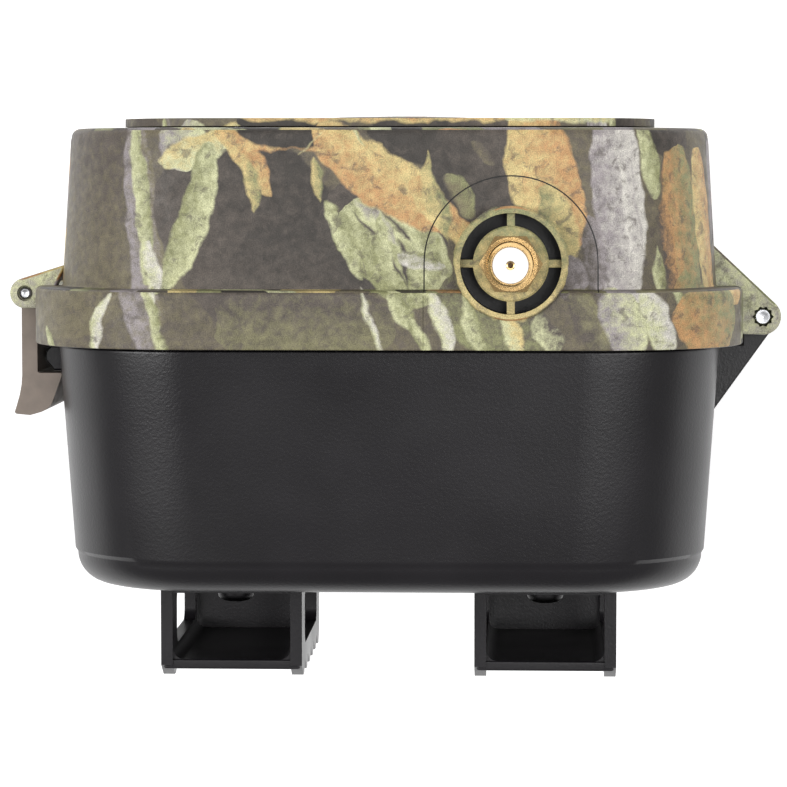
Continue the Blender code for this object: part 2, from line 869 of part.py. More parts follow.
def catmull_rom(before, start, end, after, t):
    """A point on the smooth curve through a row of points, between the middle two."""
    square = t * t
    cube = square * t
    return 0.5 * (
        2 * start
        + (end - before) * t
        + (2 * before - 5 * start + 4 * end - after) * square
        + (3 * start - before - 3 * end + after) * cube
    )


def build_front_panel():
    """The raised panel, the infrared window and the sensor's light pipe."""
    thickness = COVER_FRONT_Y - GAP - PANEL_Y
    middle = PANEL_Y + thickness / 2
    openings = [
        rounded(PANEL_WIDTH, PANEL_HEIGHT, PANEL_CORNER),
        rounded(
            WINDOW_WIDTH + 0.7,
            WINDOW_HEIGHT + 0.7,
            WINDOW_CORNER + 0.3,
            4,
            (0, WINDOW_Z - PANEL_Z),
        ),
        circle(LENS_RADIUS + 0.4, 24, (0, LENS_Z - PANEL_Z)),
        circle(PIR_RADIUS + 0.4, 24, (0, PIR_Z - PANEL_Z)),
        circle(2.3, 16, (SENSOR_X, LENS_Z - PANEL_Z)),
    ]
    plate("front_bezel", openings, thickness, "camo_plastic", (0, middle, PANEL_Z))
    pane = rounded(WINDOW_WIDTH, WINDOW_HEIGHT, WINDOW_CORNER, 4)
    plate("ir_window", [pane], 1.0, "dark_window", (0, PANEL_Y + 0.6, WINDOW_Z))
    pipe = [(0, 3.2), (1.2, 3.0), (1.9, 2.2), (1.9, -6.0), (0, -6.0)]
    at = (SENSOR_X, PANEL_Y + 3.2, LENS_Z)
    turned("light_sensor", pipe, "dark_window", at, FACE_FRONT, steps=12)


def build_lens():
    barrel = [
        (8.2, 12.2),
        (LENS_RADIUS - 0.8, 12.2),
        (LENS_RADIUS, 11.4),
        (LENS_RADIUS, 10.0),
        (LENS_RADIUS - 1.4, 10.0),
        (LENS_RADIUS - 1.4, 0.0),
        (5.0, 0.0),
        (5.0, 7.0),
    ]
    at = (0, -22.8, LENS_Z)
    turned("lens_housing", barrel, "black_plastic", at, FACE_FRONT, steps=24, closed=True)
    glass = [(0, 9.2), (2.6, 8.9), (4.7, 8.0), (4.7, 3.0), (0, 3.0)]
    turned("lens_glass", glass, "glass", at, FACE_FRONT, steps=16)
    block("camera_module", (18.0, 3.6, 18.0), "circuit_board", (0, -20.6, LENS_Z), 0.4, 1)


def build_pir():
    dome = []
    inside = []
    for step in range(PIR_RINGS + 1):
        angle = math.radians(step * 90 / PIR_RINGS)
        dome.append((PIR_RADIUS * math.sin(angle), PIR_RISE * math.cos(angle)))
        hollow = ((PIR_RADIUS - 2.0) * math.sin(angle), PIR_RISE * math.cos(angle) - 1.2)
        inside.insert(0, hollow)
    rim_drop = -0.2
    profile = dome + [(PIR_RADIUS, rim_drop), (PIR_RADIUS - 2.0, rim_drop)] + inside[1:]
    turned("pir_lens", profile, "white_lens", (0, -33.05, PIR_Z), FACE_FRONT, steps=24)
    can = [(0, 3.2), (4.2, 3.2), (4.2, -2.0), (0, -2.0)]
    turned("pir_sensor", can, "steel", (0, -20.5, PIR_Z), FACE_FRONT, steps=16)


def build_lamps():
    """The infrared lamps behind their window."""
    board = rounded(60.0, 31.0, 3.0, 2)
    plate("led_board", [board], 1.4, "circuit_board", (0, -26.0, WINDOW_Z))
    lamps = rounded(52.0, 24.0, 3.0, 2)
    plate("led_array", [lamps], 3.0, "white_lens", (0, -28.5, WINDOW_Z))


# Inside of the cover


def build_boards():
    outline = rounded(84.0, 124.0, 8.0, 3)
    plate("main_board", [outline], BOARD_THICK, "circuit_board", (0, BOARD_Y, MID_Z))
    block("lcd_screen", (50.0, 3.0, 40.0), "screen", (0, -13.1, SCREEN_Z), 0.4, 1)


def key_places():
    return (
        ("key_ok", KEY_X, KEY_Z),
        ("key_up", KEY_X, KEY_Z + KEY_PITCH),
        ("key_down", KEY_X, KEY_Z - KEY_PITCH),
        ("key_left", KEY_X + KEY_PITCH, KEY_Z),
        ("key_right", KEY_X - KEY_PITCH, KEY_Z),
        ("key_menu", KEY_X + 1.9 * KEY_PITCH, KEY_Z + KEY_PITCH),
    )


def build_inner_panel():
    openings = [
        rounded(93.0, 133.4, 18.0),
        rounded(42.0, 32.0, 1.5, 2, (0, SCREEN_Z - MID_Z)),
        rounded(CARD_WIDTH + 7.0, POCKET_HEIGHT, 3.0, 3, (CARD_X, POCKET_Z - MID_Z)),
        rounded(15.0, 4.8, 1.0, 2, (SWITCH_X, SWITCH_Z - MID_Z)),
        rounded(9.4, 5.4, 0.8, 2, (USB_X, USB_Z - MID_Z)),
    ]
    for name, x, z in key_places():
        openings.append(circle(KEY_RADIUS + 0.4, 12, (x, z - MID_Z)))
    panel = plate(
        "inner_panel",
        openings,
        INNER_PANEL_THICK,
        "black_plastic",
        (0, INNER_PANEL_Y, MID_Z),
    )
    pads = block("contact_pads", (7.0, 5.4, 23.0), None, (CONTACTS_X, -7.2, MID_Z))
    join(panel, pads)


def build_keys():
    for name, x, z in key_places():
        pivot = make_empty(name + "_axis", (x, INNER_PANEL_Y, z), datum)
        profile = [
            (0, 2.3),
            (KEY_RADIUS - 0.5, 2.3),
            (KEY_RADIUS, 1.8),
            (KEY_RADIUS, -1.4),
            (KEY_RADIUS + 1.0, -1.4),
            (KEY_RADIUS + 1.0, -2.6),
            (0, -2.6),
        ]
        turned(
            name,
            profile,
            "key_rubber",
            (0, 0, 0),
            (math.radians(-90), 0, 0),
            steps=12,
            parent=pivot,
        )


def build_mode_switch():
    pivot = make_empty("mode_switch_axis", (SWITCH_X - SWITCH_REACH, INNER_PANEL_Y, SWITCH_Z), datum)
    knob = block("mode_switch", (3.6, 4.4, 3.8), "key_rubber", (0, 0, 0), parent=pivot)
    shoe = block("switch_shoe", (6.0, 1.6, 7.0), None, (0, -2.0, 0), parent=pivot)
    join(knob, shoe)


def build_card():
    top = CARD_BOTTOM + CARD_HEIGHT
    cage_low = CARD_BOTTOM + 4.0
    cage_high = top + 1.2
    middle = (cage_low + cage_high) / 2
    cage = block(
        "card_slot",
        (CARD_WIDTH + 2.2, 3.8, cage_high - cage_low),
        "steel",
        (CARD_X, CARD_Y, middle),
    )
    room = block(
        "card_room",
        (CARD_WIDTH + 0.8, CARD_THICK + 0.8, cage_high - cage_low),
        None,
        (CARD_X, CARD_Y, middle - 0.7),
    )
    cut(cage, room)
    pivot = make_empty("sd_card_axis", (CARD_X, CARD_Y, CARD_BOTTOM), datum)
    half = CARD_WIDTH / 2
    outline = [(-half, 0), (half, 0), (half, CARD_HEIGHT), (-half + 4.0, CARD_HEIGHT)]
    outline.append((-half, CARD_HEIGHT - 4.0))
    plate("sd_card", [outline], CARD_THICK, "card_plastic", (0, 0, 0), FACE_FRONT, pivot)


def build_ports():
    shell = block("usb_port", (8.4, 6.6, 4.4), "steel", (USB_X, USB_Y, USB_Z))
    room = block("usb_room", (7.2, 6.6, 3.2), None, (USB_X, USB_Y + 1.0, USB_Z))
    cut(shell, room)
    turn = flap_turn()
    jack = [(1.6, 2.4), (3.2, 2.4), (3.2, -3.6), (0, -3.6), (0, 0.0), (1.6, 0.0)]
    at = flap_point(-SOCKET_REACH, -5.4)
    rotation = (0, math.radians(90), turn)
    turned("dc_jack", jack, "steel", (*at, FLAP_Z), rotation, steps=16, closed=True)


# Flap over the power socket, in the cover's latch side


def flap_turn():
    """The angle of the cover's side wall, from its draft."""
    drop = (SEAM_WIDTH - COVER_FRONT_WIDTH) / 2
    return -math.atan2(drop, -COVER_FRONT_Y)


def flap_hinge():
    y = -28.0
    return half_width(y) + 0.3, y


def flap_point(along, out):
    """A point from the flap's hinge: along the wall towards the seam, and out of the wall."""
    turn = flap_turn()
    x, y = flap_hinge()
    along = -along
    return (
        x + out * math.cos(turn) - along * math.sin(turn),
        y + out * math.sin(turn) + along * math.cos(turn),
    )


def flap_cutters():
    turn = (0, 0, flap_turn())
    middle = flap_point(-FLAP_WIDTH / 2 - 0.3, 0.2)
    pocket = block(
        "flap_pocket",
        (2.2, FLAP_WIDTH + 2.6, FLAP_HEIGHT + 0.8),
        None,
        (*middle, FLAP_Z),
        rotation=turn,
    )
    at = flap_point(-SOCKET_REACH, -2.0)
    hole = rod("socket_hole", 3.8, 8.0, None, (*at, FLAP_Z), (0, math.radians(90), flap_turn()))
    return [pocket, hole]


def build_flap():
    x, y = flap_hinge()
    pivot = make_empty("port_flap_axis", (x, y, FLAP_Z), datum, flap_turn())
    lid = block(
        "port_flap",
        (1.4, FLAP_WIDTH, FLAP_HEIGHT),
        "rubber",
        (0.15, FLAP_WIDTH / 2 - 0.2, 0),
        parent=pivot,
    )
    barrel = rod("flap_barrel", 0.7, FLAP_HEIGHT, None, (0.15, 0, 0), steps=12, parent=pivot)
    stem = rod("flap_stem", 2.6, 2.4, None, (-1.2, SOCKET_REACH, 0), FACE_SIDE, 12, parent=pivot)
    join(lid, barrel, stem)


# Latches and pins


def build_levers():
    for where, z in hinge_stations():
        pivot = make_empty("latch_" + where + "_axis", (LATCH_X, LATCH_Y, z), datum)
        arm = [
            (-1.3, 2.0),
            (-1.3, 12.4),
            (-5.1, 12.4),
            (-4.7, 13.6),
            (-3.5, 17.3),
            (-1.7, 18.5),
            (-0.1, 18.95),
            (2.3, 18.6),
            (1.6, 16.2),
            (1.1, 13.5),
            (1.1, 2.0),
        ]
        outline = arc((0, 0), LEVER_BARREL, 40, -220, 12) + arm
        length = LATCH_SPAN - 2 * LATCH_EAR - 2 * GAP
        lever = plate(
            "latch_lever_" + where,
            [outline, circle(LATCH_HOLE, 12)],
            length,
            "latch_plastic",
            (0, 0, 0),
            FACE_UP,
            pivot,
        )
        lever.data.shade_flat()


def build_pins():
    for where, z in hinge_stations():
        rod("hinge_pin_" + where, HINGE_PIN, HINGE_SPAN - 0.6, "steel", (HINGE_X, HINGE_Y, z))
        rod(
            "latch_pin_" + where,
            LATCH_PIN,
            LATCH_SPAN - 0.6,
            "steel",
            (LATCH_X, LATCH_Y, z),
            steps=12,
        )


clear_scene()
parts = make_collection(OBJECT_NAME)
cutters = make_collection("cutters")
materials = make_materials()
datum = make_empty("body_datum", DATUM)

build_rear_case()
build_tripod_insert()
build_keepers()
build_brackets()
build_battery_tray()
build_cells()
build_contacts()
build_spring_contacts()
build_front_cover()
build_cover_gasket()
build_jack()
build_coax()
build_front_panel()
build_lens()
build_pir()
build_lamps()
build_boards()
build_inner_panel()
build_keys()
build_mode_switch()
build_card()
build_ports()
build_flap()
build_levers()
build_pins()
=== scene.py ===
"""Trail camera: the looks of every visible piece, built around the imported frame.

Shapes are worked out in millimetres in the camera body's own frame, where Y = 0 is the seam
between the cover and the case, X = 0 the middle and Z = 0 the base. to_frame turns them into
the frame's metres.
"""

import math

import bmesh
import bpy
from bpy.props import FloatProperty, FloatVectorProperty, IntProperty, PointerProperty
from mathutils import Matrix, Vector


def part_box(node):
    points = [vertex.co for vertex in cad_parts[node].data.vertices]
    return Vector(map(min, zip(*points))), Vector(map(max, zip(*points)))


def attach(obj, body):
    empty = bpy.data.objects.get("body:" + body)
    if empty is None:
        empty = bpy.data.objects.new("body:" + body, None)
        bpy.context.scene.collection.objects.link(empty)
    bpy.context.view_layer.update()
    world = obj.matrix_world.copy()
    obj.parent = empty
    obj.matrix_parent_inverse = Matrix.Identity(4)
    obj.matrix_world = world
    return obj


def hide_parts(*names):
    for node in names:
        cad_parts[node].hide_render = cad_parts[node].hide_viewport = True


bl_info = {
    "name": "Trail Camera",
    "version": (1, 0, 0),
    "blender": (4, 5, 0),
    "location": "View3D > Sidebar > Trail Camera",
    "description": "Builds a clamshell trail camera with a leaf print, latches and an antenna jack",
    "category": "Add Mesh",
}

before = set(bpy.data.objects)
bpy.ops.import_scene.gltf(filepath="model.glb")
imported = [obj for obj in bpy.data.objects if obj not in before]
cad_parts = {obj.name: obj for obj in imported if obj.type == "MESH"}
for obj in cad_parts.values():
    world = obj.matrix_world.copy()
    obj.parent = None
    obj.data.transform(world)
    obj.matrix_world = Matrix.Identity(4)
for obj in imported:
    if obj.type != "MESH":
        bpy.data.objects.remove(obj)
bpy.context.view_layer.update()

MM = 0.001
MERGE = 0.0005
NODE_BOX = {name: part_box(name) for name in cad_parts}


def to_frame():
    """The matrix from the body's millimetres to the frame's metres."""
    panel_low, panel_high = NODE_BOX["front_bezel"]
    seam = NODE_BOX["front_cover"][1].y
    middle = Vector(((panel_low.x + panel_high.x) / 2, seam, 0.0))
    return Matrix.Translation(middle) @ Matrix.Scale(MM, 4)


TO_FRAME = to_frame()
TO_BODY = TO_FRAME.inverted()


def body_box(node):
    """A CAD node's lowest and highest corner, in the body's millimetres."""
    low, high = NODE_BOX[node]
    return TO_BODY @ low, TO_BODY @ high


def middle_of(node):
    low, high = body_box(node)
    return (low + high) / 2


def paint(red, green, blue):
    """A colour given from 0 to 255, as linear RGBA."""
    channels = []
    for value in (red, green, blue):
        share = value / 255
        channels.append(share / 12.92 if share <= 0.04045 else ((share + 0.055) / 1.055) ** 2.4)
    return (*channels, 1.0)


def length(label, text, millimetres):
    return FloatProperty(
        name=label,
        description=text,
        default=millimetres * MM,
        min=0.0,
        precision=5,
        unit="LENGTH",
    )


def colour(label, text, red, green, blue):
    return FloatVectorProperty(
        name=label,
        description=text,
        default=paint(red, green, blue),
        size=4,
        min=0.0,
        max=1.0,
        subtype="COLOR",
    )


# Settings


class CoverSettings(bpy.types.PropertyGroup):
    flange_edge: length("Flange edge", "Radius of the flange's front edge", 0.9)
    front_edge: length("Front edge", "Radius round the cover's front", 1.3)
    lip: length("Panel edge", "Radius round the raised panel", 0.6)
    witness: length("Witness line", "Width of the mould line round the jack", 0.2)
    corner_steps: IntProperty(
        name="Corner steps",
        description="Facets in each of the cover's and the case's corners",
        default=24,
        min=6,
    )


class PrintColours(bpy.types.PropertyGroup):
    ground: colour("Ground", "Olive brown behind the leaves", 106, 99, 78)
    shade: colour("Shade", "Charcoal of the deep shadows", 58, 54, 50)
    umber: colour("Umber", "Dark brown lobes", 82, 75, 69)
    blade: colour("Blade", "Pale green grass blades", 184, 185, 146)
    moss: colour("Moss", "Darker green beside the blades", 128, 129, 92)
    tan: colour("Tan", "Light side of a dry leaf", 190, 172, 120)
    rust: colour("Rust", "Orange side of a dry leaf", 174, 135, 92)
    bark: colour("Bark", "Grey lilac bark", 137, 130, 131)
    frost: colour("Frost", "Pale streaks in the bark", 190, 186, 178)
    olive: colour("Olive", "Olive grey of the rim", 116, 112, 84)


class PlasticColours(bpy.types.PropertyGroup):
    case: colour("Case", "Rear case and brackets", 24, 22, 25)
    raw: colour("Bare plastic", "Inside of the printed cover", 33, 32, 31)
    latch: colour("Latch", "Taupe latch levers", 128, 116, 106)
    window: colour("Lamp window", "Window over the infrared lamps", 18, 14, 18)
    board: colour("Board", "Solder mask", 22, 78, 44)
    keys: colour("Keys", "Grey silicone", 150, 150, 152)


class MetalColours(bpy.types.PropertyGroup):
    gold: colour("Gold", "Plated jack and nut", 226, 190, 132)
    steel: colour("Steel", "Pins, screws and contacts", 196, 197, 200)
    brass: colour("Brass", "Tripod insert", 205, 168, 98)


class JackSettings(bpy.types.PropertyGroup):
    pitch: length("Thread pitch", "Pitch of the jack's thread", 0.7056)
    depth: length("Thread depth", "Depth of the jack's thread", 0.34)


# Outlines


def arc(centre, radius, start, end, steps):
    """Points on an arc, angles in degrees."""
    points = []
    for step in range(steps + 1):
        angle = math.radians(start + (end - start) * step / steps)
        points.append((centre[0] + radius * math.cos(angle), centre[1] + radius * math.sin(angle)))
    return points


def circle(radius, steps, centre=(0.0, 0.0)):
    return arc(centre, radius, 0, 360, steps)[:-1]


def rounded(width, height, radius, steps, centre=(0.0, 0.0)):
    """A rounded rectangle's outline, anticlockwise."""
    points = []
    for corner, (sx, sy) in enumerate(((1, 1), (-1, 1), (-1, -1), (1, -1))):
        middle = (centre[0] + sx * (width / 2 - radius), centre[1] + sy * (height / 2 - radius))
        points += arc(middle, radius, corner * 90, corner * 90 + 90, steps)
    return points


def tangent(point, centre, radius, side):
    """The direction from a circle's centre to where a line from the point touches it, in degrees."""
    dx = point[0] - centre[0]
    dy = point[1] - centre[1]
    toward = math.degrees(math.atan2(dy, dx))
    return toward + side * math.degrees(math.acos(radius / math.hypot(dx, dy)))


# Meshes


def object_of(name, mesh):
    obj = bpy.data.objects.new(name, mesh)
    bpy.context.scene.collection.objects.link(obj)
    return obj


def mesh_of(work, name):
    mesh = bpy.data.meshes.new(name)
    work.to_mesh(mesh)
    work.free()
    return mesh


def loft(name, rings, caps):
    """A solid through a row of like outlines: joined end to end, or with a cap at each end."""
    work = bmesh.new()
    rows = [[work.verts.new(point) for point in ring] for ring in rings]
    count = len(rows[0])
    pairs = list(zip(rows, rows[1:]))
    if not caps:
        pairs.append((rows[-1], rows[0]))
    for one, two in pairs:
        for i in range(count):
            j = (i + 1) % count
            work.faces.new((one[i], one[j], two[j], two[i]))
    if caps:
        work.faces.new(rows[0])
        work.faces.new(rows[-1])
    bmesh.ops.recalc_face_normals(work, faces=work.faces)
    return object_of(name, mesh_of(work, name))


def upright(outline, y, middle_z):
    """An outline stood up in the plane of the seam."""
    return [(x, y, z + middle_z) for x, z in outline]


def flat_solid(name, outlines, thickness, place=None):
    """A flat outline with holes, given a thickness either side of its plane, then placed."""
    curve = bpy.data.curves.new(name, "CURVE")
    curve.dimensions = "2D"
    curve.fill_mode = "BOTH"
    curve.extrude = thickness / 2
    for outline in outlines:
        spline = curve.splines.new("POLY")
        spline.points.add(len(outline) - 1)
        for point, (x, y) in zip(spline.points, outline):
            point.co = (x, y, 0, 1)
        spline.use_cyclic_u = True
    holder = object_of("outline", curve)
    work = bmesh.new()
    work.from_mesh(evaluated_mesh(holder))
    bpy.data.objects.remove(holder, do_unlink=True)
    bmesh.ops.remove_doubles(work, verts=work.verts, dist=MERGE)
    bmesh.ops.dissolve_limit(
        work, angle_limit=math.radians(0.5), verts=work.verts, edges=work.edges
    )
    bmesh.ops.recalc_face_normals(work, faces=work.faces)
    if place:
        bmesh.ops.transform(work, matrix=place, verts=work.verts)
    return object_of(name, mesh_of(work, name))


def turned(name, profile, steps, place=None, closed=False):
    """A turned piece about Z from (radius, height) points."""
    mesh = bpy.data.meshes.new(name)
    edges = [(i, i + 1) for i in range(len(profile) - 1)]
    if closed:
        edges.append((len(profile) - 1, 0))
    mesh.from_pydata([(radius, 0, height) for radius, height in profile], edges, [])
    obj = object_of(name, mesh)
    screw = obj.modifiers.new("turn", "SCREW")
    screw.steps = steps
    screw.render_steps = steps
    screw.use_merge_vertices = True
    screw.merge_threshold = MERGE
    apply_modifiers(obj)
    work = bmesh.new()
    work.from_mesh(obj.data)
    bmesh.ops.remove_doubles(work, verts=work.verts, dist=MERGE)
    bmesh.ops.recalc_face_normals(work, faces=work.faces)
    if place:
        bmesh.ops.transform(work, matrix=place, verts=work.verts)
    work.to_mesh(obj.data)
    work.free()
    return obj


def box_solid(name, low, high, bevel=0.0, segments=3):
    work = bmesh.new()
    bmesh.ops.create_cube(work, size=1.0)
    low = Vector(low)
    high = Vector(high)
    for vertex in work.verts:
        vertex.co = (low + high) / 2 + Vector(
            (high[i] - low[i]) * vertex.co[i] for i in range(3)
        )
    obj = object_of(name, mesh_of(work, name))
    if bevel:
        round_edges(obj, bevel, segments)
    return obj


def evaluated_mesh(obj):
    depsgraph = bpy.context.evaluated_depsgraph_get()
    return bpy.data.meshes.new_from_object(obj.evaluated_get(depsgraph))


def apply_modifiers(obj):
    obj.data = evaluated_mesh(obj)
    obj.modifiers.clear()


def round_edges(obj, width, segments=3, angle=40):
    modifier = obj.modifiers.new("edges", "BEVEL")
    modifier.width = width
    modifier.segments = segments
    modifier.limit_method = "ANGLE"
    modifier.angle_limit = math.radians(angle)
    modifier.harden_normals = False
    apply_modifiers(obj)


def combine(target, tools, operation):
    for tool in tools:
        modifier = target.modifiers.new("boolean", "BOOLEAN")
        modifier.operation = operation
        modifier.solver = "EXACT"
        modifier.object = tool
    apply_modifiers(target)
    for tool in tools:
        bpy.data.objects.remove(tool, do_unlink=True)


def gather(target, others):
    """Puts other meshes into the target's, each with its own material."""
    work = bmesh.new()
    work.from_mesh(target.data)
    for other in others:
        offset = len(target.data.materials)
        for material in other.data.materials:
            target.data.materials.append(material)
        first = len(work.faces)
        work.from_mesh(other.data)
        work.faces.ensure_lookup_table()
        if offset and len(other.data.materials):
            for face in work.faces[first:]:
                face.material_index += offset
        bpy.data.objects.remove(other, do_unlink=True)
    work.to_mesh(target.data)
    work.free()
    return target


def with_material(obj, material):
    obj.data.materials.clear()
    obj.data.materials.append(material)
    return obj


def finish_piece(obj, body, slot, *nodes, sharp=35):
    """Shades a piece, moves it to the frame, puts it on its body and hides the CAD nodes it stands in for.
    The slot, its finish's name, is not used.
    """
    mesh = obj.data
    mesh.shade_smooth()
    mesh.set_sharp_from_angle(angle=math.radians(sharp))
    weighted = obj.modifiers.new("normals", "WEIGHTED_NORMAL")
    weighted.keep_sharp = True
    apply_modifiers(obj)
    obj.data.transform(TO_FRAME)
    obj.data.update()
    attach(obj, body)
    if nodes:
        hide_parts(*nodes)
    return obj


# Repeats


def grid_tree(name, material):
    """Copies of the incoming mesh on an upright grid, flipped in turn where asked."""
    tree = bpy.data.node_groups.new(name, "GeometryNodeTree")
    tree.interface.new_socket("Geometry", in_out="INPUT", socket_type="NodeSocketGeometry")
    for label in ("Columns", "Rows"):
        tree.interface.new_socket(label, in_out="INPUT", socket_type="NodeSocketInt")
    for label in ("Column Pitch", "Row Pitch", "Flip"):
        tree.interface.new_socket(label, in_out="INPUT", socket_type="NodeSocketFloat")
    tree.interface.new_socket("Middle", in_out="INPUT", socket_type="NodeSocketVector")
    tree.interface.new_socket("Geometry", in_out="OUTPUT", socket_type="NodeSocketGeometry")
    start = add_node(tree, "NodeGroupInput")
    wide = calculate(tree, "MULTIPLY", calculate(tree, "SUBTRACT", start.outputs["Columns"], 1.0),
                     start.outputs["Column Pitch"])
    tall = calculate(tree, "MULTIPLY", calculate(tree, "SUBTRACT", start.outputs["Rows"], 1.0),
                     start.outputs["Row Pitch"])
    grid = add_node(
        tree,
        "GeometryNodeMeshGrid",
        {
            "Size X": wide,
            "Size Y": tall,
            "Vertices X": start.outputs["Columns"],
            "Vertices Y": start.outputs["Rows"],
        },
    )
    stood = add_node(
        tree,
        "GeometryNodeTransform",
        {
            "Geometry": grid.outputs["Mesh"],
            "Translation": start.outputs["Middle"],
            "Rotation": (math.radians(90), 0.0, 0.0),
        },
    )
    index = add_node(tree, "GeometryNodeInputIndex").outputs[0]
    column = calculate(tree, "FLOOR", calculate(tree, "DIVIDE", index, start.outputs["Rows"]))
    turn = calculate(tree, "MODULO", calculate(tree, "ADD", index, column), 2.0)
    turn = calculate(tree, "MULTIPLY", turn, start.outputs["Flip"])
    rotation = add_node(tree, "ShaderNodeCombineXYZ", {"X": turn})
    copies = add_node(
        tree,
        "GeometryNodeInstanceOnPoints",
        {
            "Points": stood.outputs["Geometry"],
            "Instance": start.outputs["Geometry"],
            "Rotation": rotation.outputs["Vector"],
        },
    )
    real = add_node(
        tree, "GeometryNodeRealizeInstances", {"Geometry": copies.outputs["Instances"]}
    )
    dressed = add_node(
        tree, "GeometryNodeSetMaterial", {"Geometry": real.outputs["Geometry"], "Material": material}
    )
    add_node(tree, "NodeGroupOutput", {"Geometry": dressed.outputs["Geometry"]})
    return tree


def repeat(obj, material, middle, columns, rows, column_pitch, row_pitch, flip=0.0):
    """Turns one mesh at the origin into an upright grid of copies."""
    tree = grid_tree(obj.name + "_grid", material)
    modifier = obj.modifiers.new("grid", "NODES")
    modifier.node_group = tree
    values = {
        "Columns": columns,
        "Rows": rows,
        "Column Pitch": column_pitch,
        "Row Pitch": row_pitch,
        "Flip": flip,
        "Middle": middle,
    }
    for item in tree.interface.items_tree:
        if item.in_out == "INPUT" and item.name in values:
            modifier[item.identifier] = values[item.name]
    apply_modifiers(obj)
    return obj


# Nodes


def add_node(tree, kind, inputs=None, **settings):
    node = tree.nodes.new(kind)
    for key, value in settings.items():
        setattr(node, key, value)
    for key, value in (inputs or {}).items():
        socket = node.inputs[key]
        if isinstance(value, bpy.types.NodeSocket):
            tree.links.new(value, socket)
        else:
            socket.default_value = value
    return node


def calculate(tree, operation, a, b=0.0, clamp=False):
    node = add_node(tree, "ShaderNodeMath", {0: a, 1: b}, operation=operation, use_clamp=clamp)
    return node.outputs[0]


def multiply_add(tree, a, b, c):
    node = add_node(tree, "ShaderNodeMath", {0: a, 1: b, 2: c}, operation="MULTIPLY_ADD")
    return node.outputs[0]


def blend_colours(tree, factor, under, over):
    node = add_node(
        tree, "ShaderNodeMix", {0: factor, 6: under, 7: over}, data_type="RGBA", clamp_factor=True
    )
    return node.outputs[2]


def noise(tree, vector, scale, detail=3.0, roughness=0.5, distortion=0.0, flat=False):
    node = add_node(
        tree,
        "ShaderNodeTexNoise",
        {
            "Vector": vector,
            "Scale": scale,
            "Detail": detail,
            "Roughness": roughness,
            "Distortion": distortion,
        },
        noise_dimensions="2D" if flat else "3D",
    )
    return node.outputs["Fac"]


def span(tree, value, low, high, new_low=0.0, new_high=1.0):
    node = add_node(
        tree,
        "ShaderNodeMapRange",
        {
            "Value": value,
            "From Min": low,
            "From Max": high,
            "To Min": new_low,
            "To Max": new_high,
        },
    )
    return node.outputs[0]


def object_point(tree):
    """Object coordinates in millimetres."""
    place = add_node(tree, "ShaderNodeTexCoord").outputs["Object"]
    return scale_vector(tree, place, 1 / MM)


def scale_vector(tree, vector, factor):
    node = add_node(tree, "ShaderNodeVectorMath", {0: vector, "Scale": factor}, operation="SCALE")
    return node.outputs[0]


def new_material(name, **settings):
    """A Principled material and its tree. Settings are the shader's own sockets."""
    material = bpy.data.materials.new(name)
    material.use_nodes = True
    tree = material.node_tree
    shader = tree.nodes["Principled BSDF"]
    for key, value in settings.items():
        shader.inputs[key.replace("_", " ")].default_value = value
    return material, tree, shader


def bump(tree, shader, height, distance, strength=1.0):
    """Bump from a height field in millimetres."""
    node = add_node(
        tree,
        "ShaderNodeBump",
        {"Height": height, "Distance": distance * MM, "Strength": strength},
    )
    tree.links.new(node.outputs["Normal"], shader.inputs["Normal"])
    return node


def varied(tree, shader, tone, point, scale, amount):
    """A base colour with soft cloudy variation."""
    dark = tuple(channel * (1 - amount) for channel in tone[:3]) + (1.0,)
    light = tuple(min(1.0, channel * (1 + amount)) for channel in tone[:3]) + (1.0,)
    cloud = noise(tree, point, scale, detail=4.0)
    result = blend_colours(tree, span(tree, cloud, 0.3, 0.7), dark, light)
    tree.links.new(result, shader.inputs["Base Color"])
    return result


def rough(tree, shader, point, scale, low, high):
    field = noise(tree, point, scale, detail=4.0)
    tree.links.new(span(tree, field, 0.3, 0.7, low, high), shader.inputs["Roughness"])


# The leaf print. Its strokes lie on the unrolled cover: along the rim, then front to back.

STROKE_NUMBERS = (
    "Along",
    "Across",
    "Turn X",
    "Turn Y",
    "Shift X",
    "Tilt X",
    "Tilt Y",
    "Shift Y",
    "Bend",
    "Fullness",
    "Edge",
    "Grain",
)


def stroke_group():
    """Lays one tapering, curved stroke of two shades over the colour below it.

    Plain numbers only, in the order they are worked out, so that the shader stays small.
    """
    tree = bpy.data.node_groups.new("print_stroke", "ShaderNodeTree")
    tree.interface.new_socket("Under", in_out="INPUT", socket_type="NodeSocketColor")
    for label in STROKE_NUMBERS:
        tree.interface.new_socket(label, in_out="INPUT", socket_type="NodeSocketFloat")
    for label in ("Shade A", "Shade B"):
        tree.interface.new_socket(label, in_out="INPUT", socket_type="NodeSocketColor")
    tree.interface.new_socket("Colour", in_out="OUTPUT", socket_type="NodeSocketColor")
    start = add_node(tree, "NodeGroupInput").outputs
    along = multiply_add(tree, start["Across"], start["Turn Y"], start["Shift X"])
    along = multiply_add(tree, start["Along"], start["Turn X"], along)
    aside = multiply_add(tree, start["Across"], start["Tilt Y"], start["Shift Y"])
    aside = multiply_add(tree, start["Along"], start["Tilt X"], aside)
    square = calculate(tree, "MULTIPLY", along, along)
    room = calculate(tree, "MAXIMUM", calculate(tree, "SUBTRACT", 1.0, square), 0.0)
    curve = calculate(tree, "MULTIPLY", room, start["Bend"])
    aside = calculate(tree, "SUBTRACT", aside, curve)
    limit = calculate(tree, "POWER", room, start["Fullness"])
    inside = calculate(tree, "SUBTRACT", limit, calculate(tree, "ABSOLUTE", aside))
    mask = calculate(tree, "DIVIDE", inside, start["Edge"])
    side = multiply_add(tree, aside, 0.55, start["Grain"])
    shade = blend_colours(tree, side, start["Shade A"], start["Shade B"])
    result = blend_colours(tree, mask, start["Under"], shade)
    add_node(tree, "NodeGroupOutput", {"Colour": result})
    return tree


